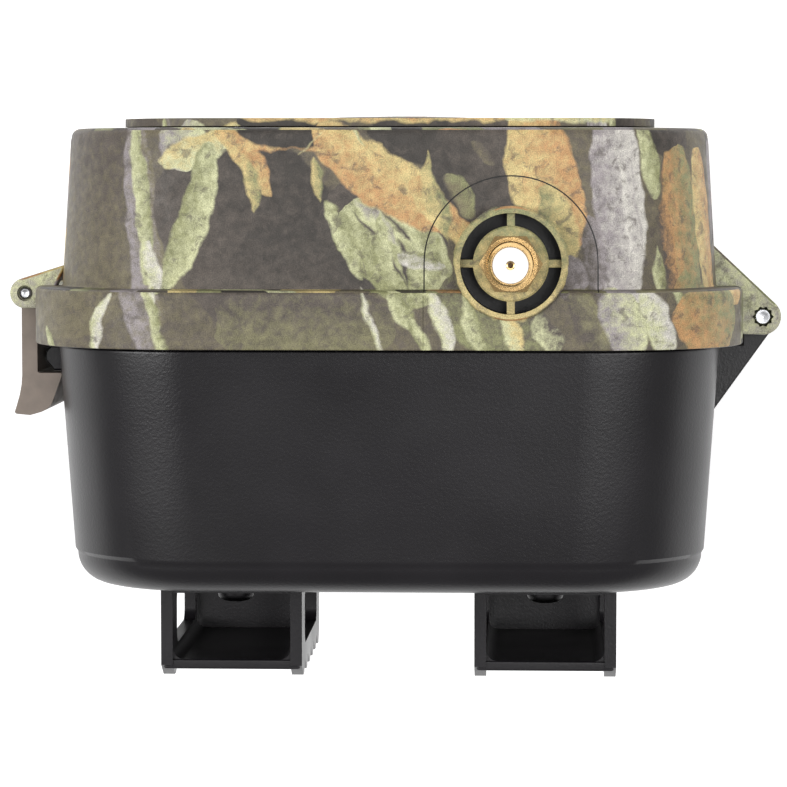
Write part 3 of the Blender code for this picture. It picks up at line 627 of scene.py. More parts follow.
def lay_strokes(tree, group, under, along, across, grain, strokes):
    """Each stroke is (from, to, width, bend, fullness, shade, shade) on the unrolled cover."""
    for start, end, width, bend, fullness, one, two in strokes:
        run = Vector((end[0] - start[0], end[1] - start[1]))
        middle = Vector((start[0] + end[0], start[1] + end[1])) / 2
        half = width / 2
        turn = run / run.length / (run.length / 2)
        tilt = Vector((-run.y, run.x)) / run.length / half
        values = {
            "Under": under,
            "Along": along,
            "Across": across,
            "Grain": grain,
            "Turn X": turn.x,
            "Turn Y": turn.y,
            "Shift X": -turn.dot(middle),
            "Tilt X": tilt.x,
            "Tilt Y": tilt.y,
            "Shift Y": -tilt.dot(middle),
            "Bend": bend / half,
            "Fullness": fullness,
            "Edge": 0.45 / half,
            "Shade A": one,
            "Shade B": two,
        }
        node = add_node(tree, "ShaderNodeGroup", None, node_tree=group)
        for label, value in values.items():
            if isinstance(value, bpy.types.NodeSocket):
                tree.links.new(value, node.inputs[label])
            else:
                node.inputs[label].default_value = value
        under = node.outputs["Colour"]
    return under


def print_strokes(tones):
    """The print over the top of the cover and its rim, from the bottom layer up."""
    ground, shade, umber = tones.ground, tones.shade, tones.umber
    blade, moss, tan, rust = tones.blade, tones.moss, tones.tan, tones.rust
    bark, frost, olive = tones.bark, tones.frost, tones.olive
    return (
        ((62, -20), (34, -16), 34, 0, 0.3, ground, umber),
        ((38, -34), (33, 2), 6.5, 0, 0.3, bark, ground),
        ((30, -29), (6, -3), 26, 0, 0.35, umber, shade),
        ((22, -12), (2, -8), 17, 0, 0.3, umber, shade),
        ((24, -4), (-2, -4), 10, 0, 0.2, olive, umber),
        ((30, -34), (29, -26), 8, 0, 0.5, bark, blade),
        ((33.5, -27.5), (21, -33), 5.0, -1.2, 0.6, blade, tan),
        ((24.5, -32.5), (16.5, -22), 4.4, 1.0, 0.6, tan, rust),
        ((21, -29.5), (4, -29), 4.6, 2.0, 0.45, rust, tan),
        ((19.6, -28), (18.6, -20), 2.6, 0, 0.8, tan, moss),
        ((10.0, -28.5), (9.2, -21.5), 2.4, 0, 0.8, tan, moss),
        ((22.5, -34), (7.5, -31.5), 7.0, 0, 0.4, shade, shade),
        ((9, -20), (-9, -14), 17, 0, 0.35, shade, umber),
        ((6.0, -20.5), (-8.5, -8.0), 12.5, 0.6, 0.35, moss, blade),
        ((5.0, -20.5), (-4.0, -8.5), 1.1, 0.7, 0.5, shade, umber),
        ((1.5, -21.0), (-9.0, -10.5), 1.0, 0.6, 0.5, umber, shade),
        ((-2.5, -16.5), (-3.8, -9.0), 1.3, 0.2, 0.6, shade, umber),
        ((8.5, -22), (3.0, -10), 3.0, 0.3, 0.6, blade, moss),
        ((4.5, -22), (-2.5, -15), 2.2, 0.5, 0.6, blade, bark),
        ((0.5, -20), (-1.5, -9), 3.0, -0.6, 0.5, moss, blade),
        ((-4, -20), (-7.5, -9), 4.0, 0.8, 0.5, blade, moss),
        ((-2, -14), (-9, -12), 2.6, 0, 0.5, frost, moss),
        ((2, -34), (-11, -29), 9, 0, 0.4, shade, shade),
        ((10.5, -33.0), (-13.5, -17.5), 8.6, -1.2, 0.45, rust, tan),
        ((-4, -25), (-13, -15.5), 6.0, 0.4, 0.5, tan, rust),
        ((-6.7, -29.5), (-9.5, -15.5), 4.4, -0.4, 0.9, tan, moss),
        ((-9.5, -33), (-23.5, -17), 15, 0, 0.3, shade, umber),
        ((-9.5, -26), (-13, -19), 3.4, 0.5, 0.6, ground, moss),
        ((-13, -30), (-16.5, -27), 2.2, 0, 0.5, ground, umber),
        ((-21.5, -36), (-28, -15), 10.5, -1.5, 0.35, tan, rust),
        ((-24, -24), (-27.5, -12), 5.5, 0, 0.4, moss, tan),
        ((-26, -13), (-29, -8), 6.0, 0, 0.4, umber, bark),
        ((-33.6, -36), (-35.5, -7), 9.0, 0.6, 0.25, bark, frost),
        ((-35, -30), (-36.6, -12), 1.2, 0.5, 0.6, frost, frost),
        ((-37.2, -29), (-39.2, -14), 1.0, -0.4, 0.6, frost, bark),
        ((-30, -20), (-31.5, -8), 4.0, 0.3, 0.5, umber, bark),
        ((-39.0, -36), (-41.6, -22), 4.2, 0.4, 0.4, blade, moss),
        ((-44, -36), (-47.5, -28), 9, 0, 0.35, shade, umber),
        ((-46.5, -30), (-48.0, -6), 8.5, 0, 0.25, rust, moss),
        ((-43.0, -22), (-45.0, -7), 3.4, 0, 0.5, umber, rust),
        ((-41.4, -15), (-42.4, -6), 2.6, 0, 0.7, blade, moss),
        ((-53, -30), (-55, -6), 6.5, 0, 0.3, tan, rust),
        ((-8, -8.4), (-24, -1), 11, 0, 0.3, moss, umber),
        ((-7, -8.6), (-10, 1), 3.0, 0.4, 0.5, blade, frost),
        ((-12, -8.6), (-15, 1), 2.8, -0.4, 0.5, blade, moss),
        ((-17.5, -6), (-20, 1), 3.2, 0.4, 0.6, blade, tan),
        ((-22, -5), (-26, 0), 4.0, 0, 0.5, blade, umber),
        ((-28, -9), (-32, 0), 5.0, 0, 0.4, umber, olive),
        ((-33, -9), (-36, 1), 6.0, 0, 0.35, bark, blade),
        ((-37, -9), (-40.5, 1), 4.4, 0.4, 0.45, blade, frost),
        ((-44, -9), (-52, 0), 13, 0, 0.3, rust, moss),
        ((3.5, -9), (-0.5, 1), 1.3, 0, 0.5, blade, frost),
        ((-1.5, -8.5), (-4.5, -3), 3.4, 0, 0.5, blade, moss),
        ((-4, -5), (-7, 1), 2.4, 0, 0.6, moss, blade),
        ((38.5, -34.0), (34.6, -9), 3.0, 0.5, 0.25, blade, moss),
        ((25.5, -30.5), (33.2, -8), 5.2, 1.6, 0.4, moss, blade),
        ((35.5, -16), (32.8, -6.5), 2.6, 0.2, 0.25, blade, frost),
        ((38.8, -8.4), (41.5, 1.5), 2.2, -0.6, 0.3, blade, frost),
        ((33.8, -9), (31.5, 1.5), 2.0, 0.3, 0.3, blade, moss),
        ((52, -3), (49.5, 1.5), 2.0, 0.3, 0.4, blade, moss),
        ((12.6, -28.0), (7.8, -32.2), 0.55, 0.3, 0.3, tan, blade),
        ((4.6, -32.6), (2.4, -29.8), 0.9, 0, 0.5, blade, moss),
        ((22, -34.2), (-18, -34.2), 1.9, 0, 0.05, tan, rust),
        ((-18, -34.2), (-41, -34.2), 1.9, 0, 0.05, blade, tan),
        ((-16, EAR_SHEET), (16, EAR_SHEET), 50, 0, 0.1, blade, bark),
        ((-10.4, -12.7), (-27.2, -12.7), 16.8, 0, 0.5, tan, moss),
    )


def scattered_leaves(tree, under, point, cell, leaf_length, leaf_width, seed, tones):
    """A layer of leaves thrown at random, one to a cell."""
    moved = add_node(tree, "ShaderNodeVectorMath", {0: point, 1: (seed, seed * 0.7, 0.0)})
    cells = add_node(
        tree,
        "ShaderNodeTexVoronoi",
        {"Vector": moved.outputs[0], "Scale": 1 / cell, "Randomness": 0.9},
        voronoi_dimensions="2D",
    )
    away = add_node(
        tree,
        "ShaderNodeVectorMath",
        {0: moved.outputs[0], 1: cells.outputs["Position"]},
        operation="SUBTRACT",
    )
    chance = add_node(tree, "ShaderNodeSeparateColor", {0: cells.outputs["Color"]}).outputs
    turned_by = calculate(tree, "MULTIPLY", chance[0], math.tau)
    local = add_node(
        tree,
        "ShaderNodeVectorRotate",
        {"Vector": away.outputs[0], "Angle": turned_by},
        rotation_type="Z_AXIS",
    )
    parts = add_node(tree, "ShaderNodeSeparateXYZ", {0: local.outputs[0]}).outputs
    along = calculate(tree, "DIVIDE", parts["X"], leaf_length / 2)
    across = calculate(tree, "DIVIDE", parts["Y"], leaf_width / 2)
    room = calculate(tree, "SUBTRACT", 1.0, calculate(tree, "MULTIPLY", along, along), clamp=True)
    bend = calculate(tree, "SUBTRACT", chance[1], 0.5)
    across = calculate(tree, "SUBTRACT", across, calculate(tree, "MULTIPLY", room, bend))
    limit = calculate(tree, "POWER", room, 0.55)
    inside = calculate(tree, "SUBTRACT", limit, calculate(tree, "ABSOLUTE", across))
    mask = calculate(tree, "DIVIDE", inside, 0.5 / leaf_width, clamp=True)
    ramp = add_node(tree, "ShaderNodeValToRGB", {"Fac": chance[2]})
    ramp.color_ramp.interpolation = "CONSTANT"
    ramp.color_ramp.elements[0].color = tones[0]
    ramp.color_ramp.elements[1].color = tones[-1]
    ramp.color_ramp.elements[1].position = 1 - 1 / len(tones)
    for index, tone in enumerate(tones[1:-1], start=1):
        ramp.color_ramp.elements.new(index / len(tones)).color = tone
    side = calculate(tree, "ADD", calculate(tree, "MULTIPLY", across, 0.4), 0.35, True)
    darker = scale_vector(tree, ramp.outputs["Color"], 0.5)
    leaf = blend_colours(tree, side, ramp.outputs["Color"], darker)
    return blend_colours(tree, mask, under, leaf)


def leaf_print_material():
    """Printed leaves, blades and bark under a satin clear coat."""
    tones = bpy.context.scene.trail_print
    material, tree, shader = new_material("leaf_print", Specular_IOR_Level=0.35)
    sheet = add_node(tree, "ShaderNodeUVMap", uv_map="print").outputs["UV"]
    point = scale_vector(tree, sheet, 1 / PRINT_SCALE)
    coarse = add_node(
        tree,
        "ShaderNodeTexNoise",
        {"Vector": point, "Scale": 0.3, "Detail": 3.0, "Roughness": 0.45},
        noise_dimensions="2D",
    )
    shift = add_node(
        tree,
        "ShaderNodeVectorMath",
        {0: coarse.outputs["Color"], 1: (0.5, 0.5, 0.5)},
        operation="SUBTRACT",
    )
    warped = add_node(
        tree,
        "ShaderNodeVectorMath",
        {0: point, 1: scale_vector(tree, shift.outputs[0], 1.7)},
    ).outputs[0]
    fibre = noise(tree, point, 0.7, detail=6.0, roughness=0.72, distortion=0.15, flat=True)
    grain = span(tree, fibre, 0.3, 0.7, 0.05, 0.95)
    ground = blend_colours(tree, grain, tuple(tones.umber), tuple(tones.ground))
    parts = add_node(tree, "ShaderNodeSeparateXYZ", {0: warped}).outputs
    placed = lay_strokes(
        tree, stroke_group(), ground, parts["X"], parts["Y"], grain, stroke_values(tones)
    )
    thrown = ground
    leaves = (
        (34.0, 44.0, 22.0, 3.0, (tones.shade, tones.umber, tones.moss, tones.ground)),
        (17.0, 24.0, 9.0, 41.0, (tones.tan, tones.umber, tones.shade, tones.rust, tones.olive)),
        (24.0, 40.0, 3.4, 77.0, (tones.blade, tones.moss, tones.blade, tones.frost)),
        (13.0, 18.0, 5.0, 95.0, (tones.shade, tones.tan, tones.moss, tones.bark)),
    )
    for cell, leaf_length, leaf_width, seed, shades in leaves:
        shades = [tuple(tone) for tone in shades]
        thrown = scattered_leaves(
            tree, thrown, warped, cell, leaf_length, leaf_width, seed, shades
        )
    reach = calculate(tree, "SUBTRACT", 59.0, calculate(tree, "ABSOLUTE", parts["X"]))
    on_top = calculate(tree, "MULTIPLY", reach, 0.6, clamp=True)
    picture = blend_colours(tree, on_top, thrown, placed)
    stain = noise(tree, warped, 0.5, detail=6.0, roughness=0.7, distortion=0.3, flat=True)
    picture = blend_colours(
        tree, span(tree, stain, 0.54, 0.66, 0.0, 0.6), picture, tuple(tones.umber)
    )
    speckle = noise(tree, point, 6.0, detail=2.0, flat=True)
    blotch = noise(tree, point, 0.45, detail=5.0, roughness=0.65, flat=True)
    gain = calculate(
        tree,
        "ADD",
        span(tree, speckle, 0.3, 0.7, 0.28, 0.86),
        span(tree, blotch, 0.3, 0.7, 0.36, 0.78),
    )
    toned = scale_vector(tree, picture, gain)
    tree.links.new(toned, shader.inputs["Base Color"])
    place = object_point(tree)
    rough(tree, shader, place, 0.8, 0.42, 0.58)
    bump(tree, shader, noise(tree, place, 2.6, detail=3.0), 0.035)
    return material


def stroke_values(tones):
    values = []
    for start, end, width, bend, fullness, one, two in print_strokes(tones):
        values.append((start, end, width, bend, fullness, tuple(one), tuple(two)))
    return values


PRINT_SCALE = 0.01


def rim_place(x, z):
    """How far round the cover's rim a point is, from the top's middle, in millimetres."""
    flat_x = (SEAM_WIDTH / 2) - CORNER
    flat_z = (SEAM_HEIGHT / 2) - CORNER
    side = 1 if x >= 0 else -1
    across = abs(x)
    up = z - MID_Z
    turn = CORNER * math.pi / 2
    if across <= flat_x:
        if up > 0:
            return x
        return side * (flat_x + 2 * turn + 2 * flat_z + flat_x - across)
    if abs(up) <= flat_z:
        return side * (flat_x + turn + flat_z - up)
    if up > 0:
        angle = math.atan2(across - flat_x, up - flat_z)
        return side * (flat_x + CORNER * angle)
    angle = math.atan2(-up - flat_z, across - flat_x)
    return side * (flat_x + turn + 2 * flat_z + CORNER * angle)


def lay_print(mesh):
    """Unrolls the print onto a mesh that is still in the body's millimetres."""
    layer = mesh.uv_layers.get("print") or mesh.uv_layers.new(name="print")
    for polygon in mesh.polygons:
        normal = polygon.normal
        centre = polygon.center
        facing_front = abs(normal.y) > 0.72
        out_of_rim = abs(centre.x) > FLANGE_WIDTH / 2 and abs(normal.z) > 0.5
        for loop in polygon.loop_indices:
            x, y, z = mesh.vertices[mesh.loops[loop].vertex_index].co
            if facing_front:
                u, v = x + FRONT_SHEET, z
            elif out_of_rim:
                u, v = x - math.copysign(FLANGE_WIDTH / 2, x), y + EAR_SHEET
            else:
                u, v = rim_place(x, z), y
            layer.data[loop].uv = (u * PRINT_SCALE, v * PRINT_SCALE)


# Other finishes


def black_plastic_material(name, tone, height=0.03):
    """Fine satin texture with a little dust and handling sheen."""
    material, tree, shader = new_material(name, Specular_IOR_Level=0.4)
    point = object_point(tree)
    varied(tree, shader, tuple(tone), point, 0.08, 0.18)
    rough(tree, shader, point, 0.05, 0.29, 0.39)
    field = noise(tree, point, 2.2, detail=3.0, roughness=0.6)
    bump(tree, shader, field, height)
    return material


def latch_material():
    tone = tuple(bpy.context.scene.trail_plastic.latch)
    material, tree, shader = new_material("latch_taupe", Specular_IOR_Level=0.45)
    point = object_point(tree)
    varied(tree, shader, tone, point, 0.4, 0.12)
    rough(tree, shader, point, 0.6, 0.4, 0.55)
    bump(tree, shader, noise(tree, point, 3.0, detail=3.0), 0.02)
    return material


def metal_material(name, tone, low, high, brushed=3.0):
    material, tree, shader = new_material(name, Metallic=1.0)
    point = object_point(tree)
    varied(tree, shader, tuple(tone), point, 0.9, 0.08)
    rough(tree, shader, point, brushed, low, high)
    bump(tree, shader, noise(tree, point, 9.0, detail=2.0), 0.004)
    return material


def rubber_material():
    material, tree, shader = new_material("rubber_black", Specular_IOR_Level=0.3)
    point = object_point(tree)
    varied(tree, shader, paint(40, 40, 41), point, 0.5, 0.2)
    rough(tree, shader, point, 1.0, 0.65, 0.85)
    bump(tree, shader, noise(tree, point, 4.0, detail=4.0), 0.03)
    return material


def white_lens_material():
    """Milky film with the rings of its many small lenses."""
    material, tree, shader = new_material(
        "milky_lens", Specular_IOR_Level=0.4, Subsurface_Weight=0.25, Subsurface_Scale=0.002
    )
    point = object_point(tree)
    varied(tree, shader, paint(226, 226, 219), point, 0.3, 0.04)
    rough(tree, shader, point, 0.5, 0.28, 0.4)
    bump(tree, shader, noise(tree, point, 1.5, detail=2.0), 0.01)
    return material


def window_material():
    """Black pane that lets a little light through to the lamps."""
    material, tree, shader = new_material(
        "lamp_window", Transmission_Weight=0.5, IOR=1.49, Coat_Weight=0.4, Coat_Roughness=0.05
    )
    point = object_point(tree)
    varied(tree, shader, tuple(bpy.context.scene.trail_plastic.window), point, 0.1, 0.2)
    rough(tree, shader, point, 0.2, 0.04, 0.09)
    return material


def lens_glass_material():
    """Coated glass whose violet to green colour, changing with the viewing angle, is a painted reflection
    of its coating.
    """
    material, tree, shader = new_material(
        "coated_glass", IOR=1.6, Coat_Weight=1.0, Coat_Roughness=0.02
    )
    # painted reflection: violet face on, green towards grazing angles, put into the base colour
    weight = add_node(tree, "ShaderNodeLayerWeight", {"Blend": 0.35}).outputs["Facing"]
    painted_reflection_tint = blend_colours(tree, weight, paint(22, 12, 40), paint(30, 60, 52))
    tree.links.new(painted_reflection_tint, shader.inputs["Base Color"])
    rough(tree, shader, object_point(tree), 0.4, 0.02, 0.05)
    return material


def lamp_material():
    """Lamp domes in a grey lilac tint under a glossy coat."""
    material, tree, shader = new_material("lamp_dome", Coat_Weight=0.6, Coat_Roughness=0.05)
    point = object_point(tree)
    varied(tree, shader, paint(150, 146, 160), point, 0.7, 0.25)
    rough(tree, shader, point, 1.0, 0.08, 0.16)
    return material


def board_material():
    """Green solder mask with copper tracks under it."""
    tone = tuple(bpy.context.scene.trail_plastic.board)
    material, tree, shader = new_material("solder_mask", Coat_Weight=0.3, Coat_Roughness=0.15)
    point = object_point(tree)
    lines = add_node(
        tree,
        "ShaderNodeTexBrick",
        {
            "Vector": point,
            "Scale": 0.35,
            "Color1": tone,
            "Color2": tuple(channel * 0.8 for channel in tone[:3]) + (1.0,),
            "Mortar": paint(64, 140, 84),
            "Mortar Size": 0.03,
        },
    )
    tree.links.new(lines.outputs["Color"], shader.inputs["Base Color"])
    rough(tree, shader, point, 0.5, 0.3, 0.45)
    bump(tree, shader, lines.outputs["Fac"], 0.03)
    return material


def sleeve_material():
    """Printed shrink sleeve with a band at the plus end."""
    material, tree, shader = new_material("cell_sleeve", Coat_Weight=0.5, Coat_Roughness=0.12)
    along = add_node(tree, "ShaderNodeAttribute", attribute_name="along").outputs["Fac"]
    band = span(tree, along, 0.70, 0.71)
    point = object_point(tree)
    cloud = noise(tree, point, 0.5, detail=3.0)
    body = blend_colours(tree, cloud, paint(36, 58, 92), paint(30, 46, 78))
    ring = blend_colours(tree, cloud, paint(196, 152, 78), paint(178, 134, 66))
    tree.links.new(blend_colours(tree, band, body, ring), shader.inputs["Base Color"])
    rough(tree, shader, point, 0.6, 0.2, 0.3)
    return material


def key_material():
    tone = tuple(bpy.context.scene.trail_plastic.keys)
    material, tree, shader = new_material("key_silicone", Specular_IOR_Level=0.3)
    point = object_point(tree)
    varied(tree, shader, tone, point, 0.8, 0.08)
    rough(tree, shader, point, 1.0, 0.55, 0.7)
    bump(tree, shader, noise(tree, point, 5.0, detail=3.0), 0.015)
    return material


def screen_material():
    """Screen glass, black with a faint grid of cells."""
    material, tree, shader = new_material("screen_glass", Coat_Weight=1.0, Coat_Roughness=0.03)
    point = object_point(tree)
    cells = add_node(
        tree,
        "ShaderNodeTexBrick",
        {
            "Vector": scale_vector(tree, point, 1.0),
            "Scale": 4.0,
            "Color1": paint(24, 27, 33),
            "Color2": paint(20, 24, 30),
            "Mortar": paint(12, 13, 16),
            "Mortar Size": 0.04,
        },
        offset=0.0,
    )
    tree.links.new(cells.outputs["Color"], shader.inputs["Base Color"])
    rough(tree, shader, point, 0.2, 0.1, 0.16)
    return material


def simple_material(name, tone, low, high, amount=0.1, height=0.01):
    material, tree, shader = new_material(name, Specular_IOR_Level=0.4)
    point = object_point(tree)
    varied(tree, shader, tone, point, 0.6, amount)
    rough(tree, shader, point, 0.8, low, high)
    bump(tree, shader, noise(tree, point, 4.0, detail=3.0), height)
    return material


FINISHES = {}


def finish(name):
    """A finish by name, made once."""
    if name not in FINISHES:
        plastic = bpy.context.scene.trail_plastic
        metal = bpy.context.scene.trail_metal
        makers = {
            "print": leaf_print_material,
            "case": lambda: black_plastic_material("case_black", plastic.case),
            "raw": lambda: black_plastic_material("cover_inside", plastic.raw, 0.02),
            "latch": latch_material,
            "gold": lambda: metal_material("gold_plating", metal.gold, 0.2, 0.32),
            "steel": lambda: metal_material("plated_steel", metal.steel, 0.24, 0.4),
            "black_steel": lambda: metal_material("black_oxide", paint(44, 43, 44), 0.35, 0.5),
            "brass": lambda: metal_material("turned_brass", metal.brass, 0.22, 0.36),
            "rubber": rubber_material,
            "lens": white_lens_material,
            "window": window_material,
            "glass": lens_glass_material,
            "lamp": lamp_material,
            "board": board_material,
            "sleeve": sleeve_material,
            "key": key_material,
            "screen": screen_material,
            "insulator": lambda: simple_material(
                "jack_insulator", paint(250, 244, 238), 0.3, 0.4, 0.02, 0.004
            ),
            "card": lambda: simple_material("card_shell", paint(40, 46, 66), 0.4, 0.5),
            "sheath": lambda: simple_material("cable_jacket", paint(40, 40, 42), 0.4, 0.5),
        }
        FINISHES[name] = makers[name]()
    return FINISHES[name]


# Driving sizes of the body, in millimetres

MID_Z = 74.0
CORNER = 21.0
SEAM_WIDTH = 100.6
SEAM_HEIGHT = 141.4
COVER_FRONT_Y = -32.5
COVER_FRONT_WIDTH = 96.9
COVER_FRONT_HEIGHT = 137.7
CASE_REAR_Y = 36.6
CASE_REAR_WIDTH = 95.9
CASE_REAR_HEIGHT = 136.7
WALL = 2.2
FLANGE_WIDTH = 107.7
FLANGE_HEIGHT = 148.0
FLANGE_DEPTH = 8.7
FLANGE_CORNER = 24.4
MOUTH = (88.0, 128.7, 16.0)
SEAL = (93.2, 134.0, 18.0)
GROOVE = 4.4
GROOVE_DEPTH = 3.2
GAP = 0.3
JACK = middle_of("sma_jack")
JACK_TOP = body_box("sma_jack")[1].z
RING_TOP = 148.7
RING_RADIUS = 8.35
RING_WALL = 1.0
BOSS_TOP = 148.2
BOSS_RADIUS = 5.5
RECESS_FLOOR = 143.6
WITNESS_RADIUS = 12.7
HINGE = Vector((-57.0, -4.0))
HINGE_EYE = 2.75
LATCH = Vector((55.5, -7.5))
LATCH_EYE = 2.3
STATIONS = (("lower", 37.0), ("upper", 111.0))
HINGE_SPAN = 24.0
EAR_THICK = 5.5
LATCH_SPAN = 29.0
LATCH_EAR = 3.5
BRACKET_Z = 104.95
BRACKET_HEIGHT = 40.7
WEB_Y = 49.5
TOOTH_Y = 51.5
STEP_Y = 47.1
FRONT_SHEET = 300.0
EAR_SHEET = 45.0
HINGE_PIN_RADIUS = 1.3
LATCH_PIN_RADIUS = 0.9
PIN_EDGE = 0.25
PIN_PLAY = 0.6
JACK_BORE = 2.62
INSULATOR_RADIUS = 2.58
INSULATOR_LOW = 141.6
LENS_RIPPLE = 0.09
PIPE_DOME = 1.1

UP = Matrix.Identity(4)
STOOD = Matrix.Rotation(math.radians(90), 4, "X")


def lifted(x, y, z, turn=None):
    return Matrix.Translation((x, y, z)) @ (turn or UP)


def cover_size(y, inset=0.0):
    """The cover's outline at a depth, with its draft, as (width, height, corner)."""
    share = y / COVER_FRONT_Y
    width = SEAM_WIDTH + (COVER_FRONT_WIDTH - SEAM_WIDTH) * share
    height = SEAM_HEIGHT + (COVER_FRONT_HEIGHT - SEAM_HEIGHT) * share
    return width - 2 * inset, height - 2 * inset, CORNER - inset


def case_size(y, inset=0.0):
    share = y / CASE_REAR_Y
    width = SEAM_WIDTH + (CASE_REAR_WIDTH - SEAM_WIDTH) * share
    height = SEAM_HEIGHT + (CASE_REAR_HEIGHT - SEAM_HEIGHT) * share
    return width - 2 * inset, height - 2 * inset, CORNER - inset


def ring_at(size, y, steps, inset=0.0):
    width, height, corner = size
    corner = max(corner - inset, 0.5)
    return upright(rounded(width - 2 * inset, height - 2 * inset, corner, steps), y, MID_Z)


def rounded_turn(size_at, y, radius, forward, steps, segments=6):
    """Rings round an edge: from the wall into the end face, forward is -1 towards the front."""
    rings = []
    for step in range(segments + 1):
        angle = math.radians(90 * step / segments)
        depth = y - forward * radius * (1 - math.sin(angle))
        inset = radius * (1 - math.cos(angle))
        rings.append(ring_at(size_at(y), depth, steps, inset))
    return rings


# The cover


def cover_rings(settings):
    """The cover's section, round from the seam, over the flange and the wall, and back inside."""
    steps = settings.corner_steps
    flange = (FLANGE_WIDTH, FLANGE_HEIGHT, FLANGE_CORNER)
    edge = settings.flange_edge / MM
    front = settings.front_edge / MM
    back = 0.35
    rings = [ring_at(flange, 0.0, steps, 1.2)]
    rings.append(ring_at(flange, 0.0, steps, back))
    rings.append(ring_at(flange, -0.1, steps, 0.1))
    rings.append(ring_at(flange, -back, steps))
    rings.append(ring_at(flange, -FLANGE_DEPTH + edge + 0.4, steps))
    rings += rounded_turn(lambda y: flange, -FLANGE_DEPTH, edge, -1, steps)
    rings.append(ring_at(cover_size(-FLANGE_DEPTH), -FLANGE_DEPTH, steps, -0.35))
    rings.append(ring_at(cover_size(-FLANGE_DEPTH), -FLANGE_DEPTH - 0.1, steps, -0.1))
    rings.append(ring_at(cover_size(-FLANGE_DEPTH - 0.4), -FLANGE_DEPTH - 0.4, steps))
    for y in (-12.0, -20.0, COVER_FRONT_Y + front + 0.5):
        rings.append(ring_at(cover_size(y), y, steps))
    rings += rounded_turn(cover_size, COVER_FRONT_Y, front, -1, steps)
    rings.append(ring_at(cover_size(COVER_FRONT_Y), COVER_FRONT_Y, steps, front + 0.6))
    opening = (77.0, 116.0, 12.0)
    rings.append(ring_at(opening, COVER_FRONT_Y, steps))
    rings.append(ring_at(opening, COVER_FRONT_Y + WALL, steps))
    rings.append(ring_at(cover_size(COVER_FRONT_Y + WALL), COVER_FRONT_Y + WALL, steps, WALL))
    rings.append(ring_at(cover_size(-FLANGE_DEPTH), -FLANGE_DEPTH, steps, WALL))
    rings.append(ring_at(MOUTH, -FLANGE_DEPTH, steps))
    rings.append(ring_at(MOUTH, 0.0, steps))
    inner = tuple(side - GROOVE * share for side, share in zip(SEAL, (1, 1, 0.5)))
    outer = tuple(side + GROOVE * share for side, share in zip(SEAL, (1, 1, 0.5)))
    rings.append(ring_at(inner, 0.0, steps))
    rings.append(ring_at(inner, -GROOVE_DEPTH, steps))
    rings.append(ring_at(outer, -GROOVE_DEPTH, steps))
    rings.append(ring_at(outer, 0.0, steps))
    return rings


def ear(name, outline, z, thickness):
    obj = flat_solid(name, [outline], thickness, lifted(0, 0, z))
    round_edges(obj, 0.3, 3, 60)
    return obj


def cover_ear_outline():
    root = (-47.6, -16.6)
    back = (-50.5, -1.4)
    start = tangent(back, HINGE, HINGE_EYE, 1)
    end = tangent(root, HINGE, HINGE_EYE, -1) + 360
    return [root, back] + arc(HINGE, HINGE_EYE, start, end, 28)


def case_ear_outline():
    root = (-48.9, 12.1)
    end = tangent(root, HINGE, HINGE_EYE, 1)
    outline = arc(HINGE, HINGE_EYE, 0, end - 360, 28)
    return outline + [root, (-48.9, GAP + 0.2), (HINGE.x + HINGE_EYE, GAP + 0.2)]


def latch_ear_outline():
    root = (49.2, -11.9)
    back = (52.4, -5.2)
    start = tangent(root, LATCH, LATCH_EYE, 1)
    end = tangent(back, LATCH, LATCH_EYE, -1)
    return [back, root] + arc(LATCH, LATCH_EYE, start, end, 24)


def outer_pair(middle, span_length, thickness):
    rise = (span_length - thickness) / 2
    return middle - rise, middle + rise


def star_bore(name, centre, z, outer, inner, height, points=10):
    outline = []
    for i in range(2 * points):
        radius = outer if i % 2 == 0 else inner
        angle = math.pi * i / points
        outline.append((radius * math.cos(angle), radius * math.sin(angle)))
    return flat_solid(name, [outline], height, lifted(centre.x, centre.y, z))


def jack_ring():
    """The ring round the jack's recess, with its rounded rim and a fine step inside."""
    low = 141.2
    profile = [
        (0.0, low),
        (RING_RADIUS, low),
        (RING_RADIUS, RING_TOP - 0.75),
        (RING_RADIUS - 0.12, RING_TOP - 0.62),
        (RING_RADIUS - 0.14, RING_TOP - 0.2),
        (RING_RADIUS - 0.32, RING_TOP),
        (RING_RADIUS - RING_WALL + 0.2, RING_TOP),
        (0.0, RING_TOP),
    ]
    return turned("jack_ring", profile, 64, lifted(JACK.x, JACK.y, 0))


def jack_boss():
    """The boss that the jack's nut sits on, and its four ribs."""
    boss = turned(
        "jack_boss",
        [
            (0.0, 142.0),
            (BOSS_RADIUS, 142.0),
            (BOSS_RADIUS, BOSS_TOP - 0.25),
            (BOSS_RADIUS - 0.25, BOSS_TOP),
            (0.0, BOSS_TOP),
        ],
        56,
        lifted(JACK.x, JACK.y, 0),
    )
    reach = RING_RADIUS - RING_WALL / 2
    low = Vector((JACK.x, JACK.y, 142.2))
    top = BOSS_TOP - 0.7 - low.z
    pieces = [boss]
    for along in (Vector((reach, 0.6, 0)), Vector((0.6, reach, 0))):
        pieces.append(box_solid("jack_rib", low - along, low + along + Vector((0, 0, top)), 0.15, 2))
    return pieces


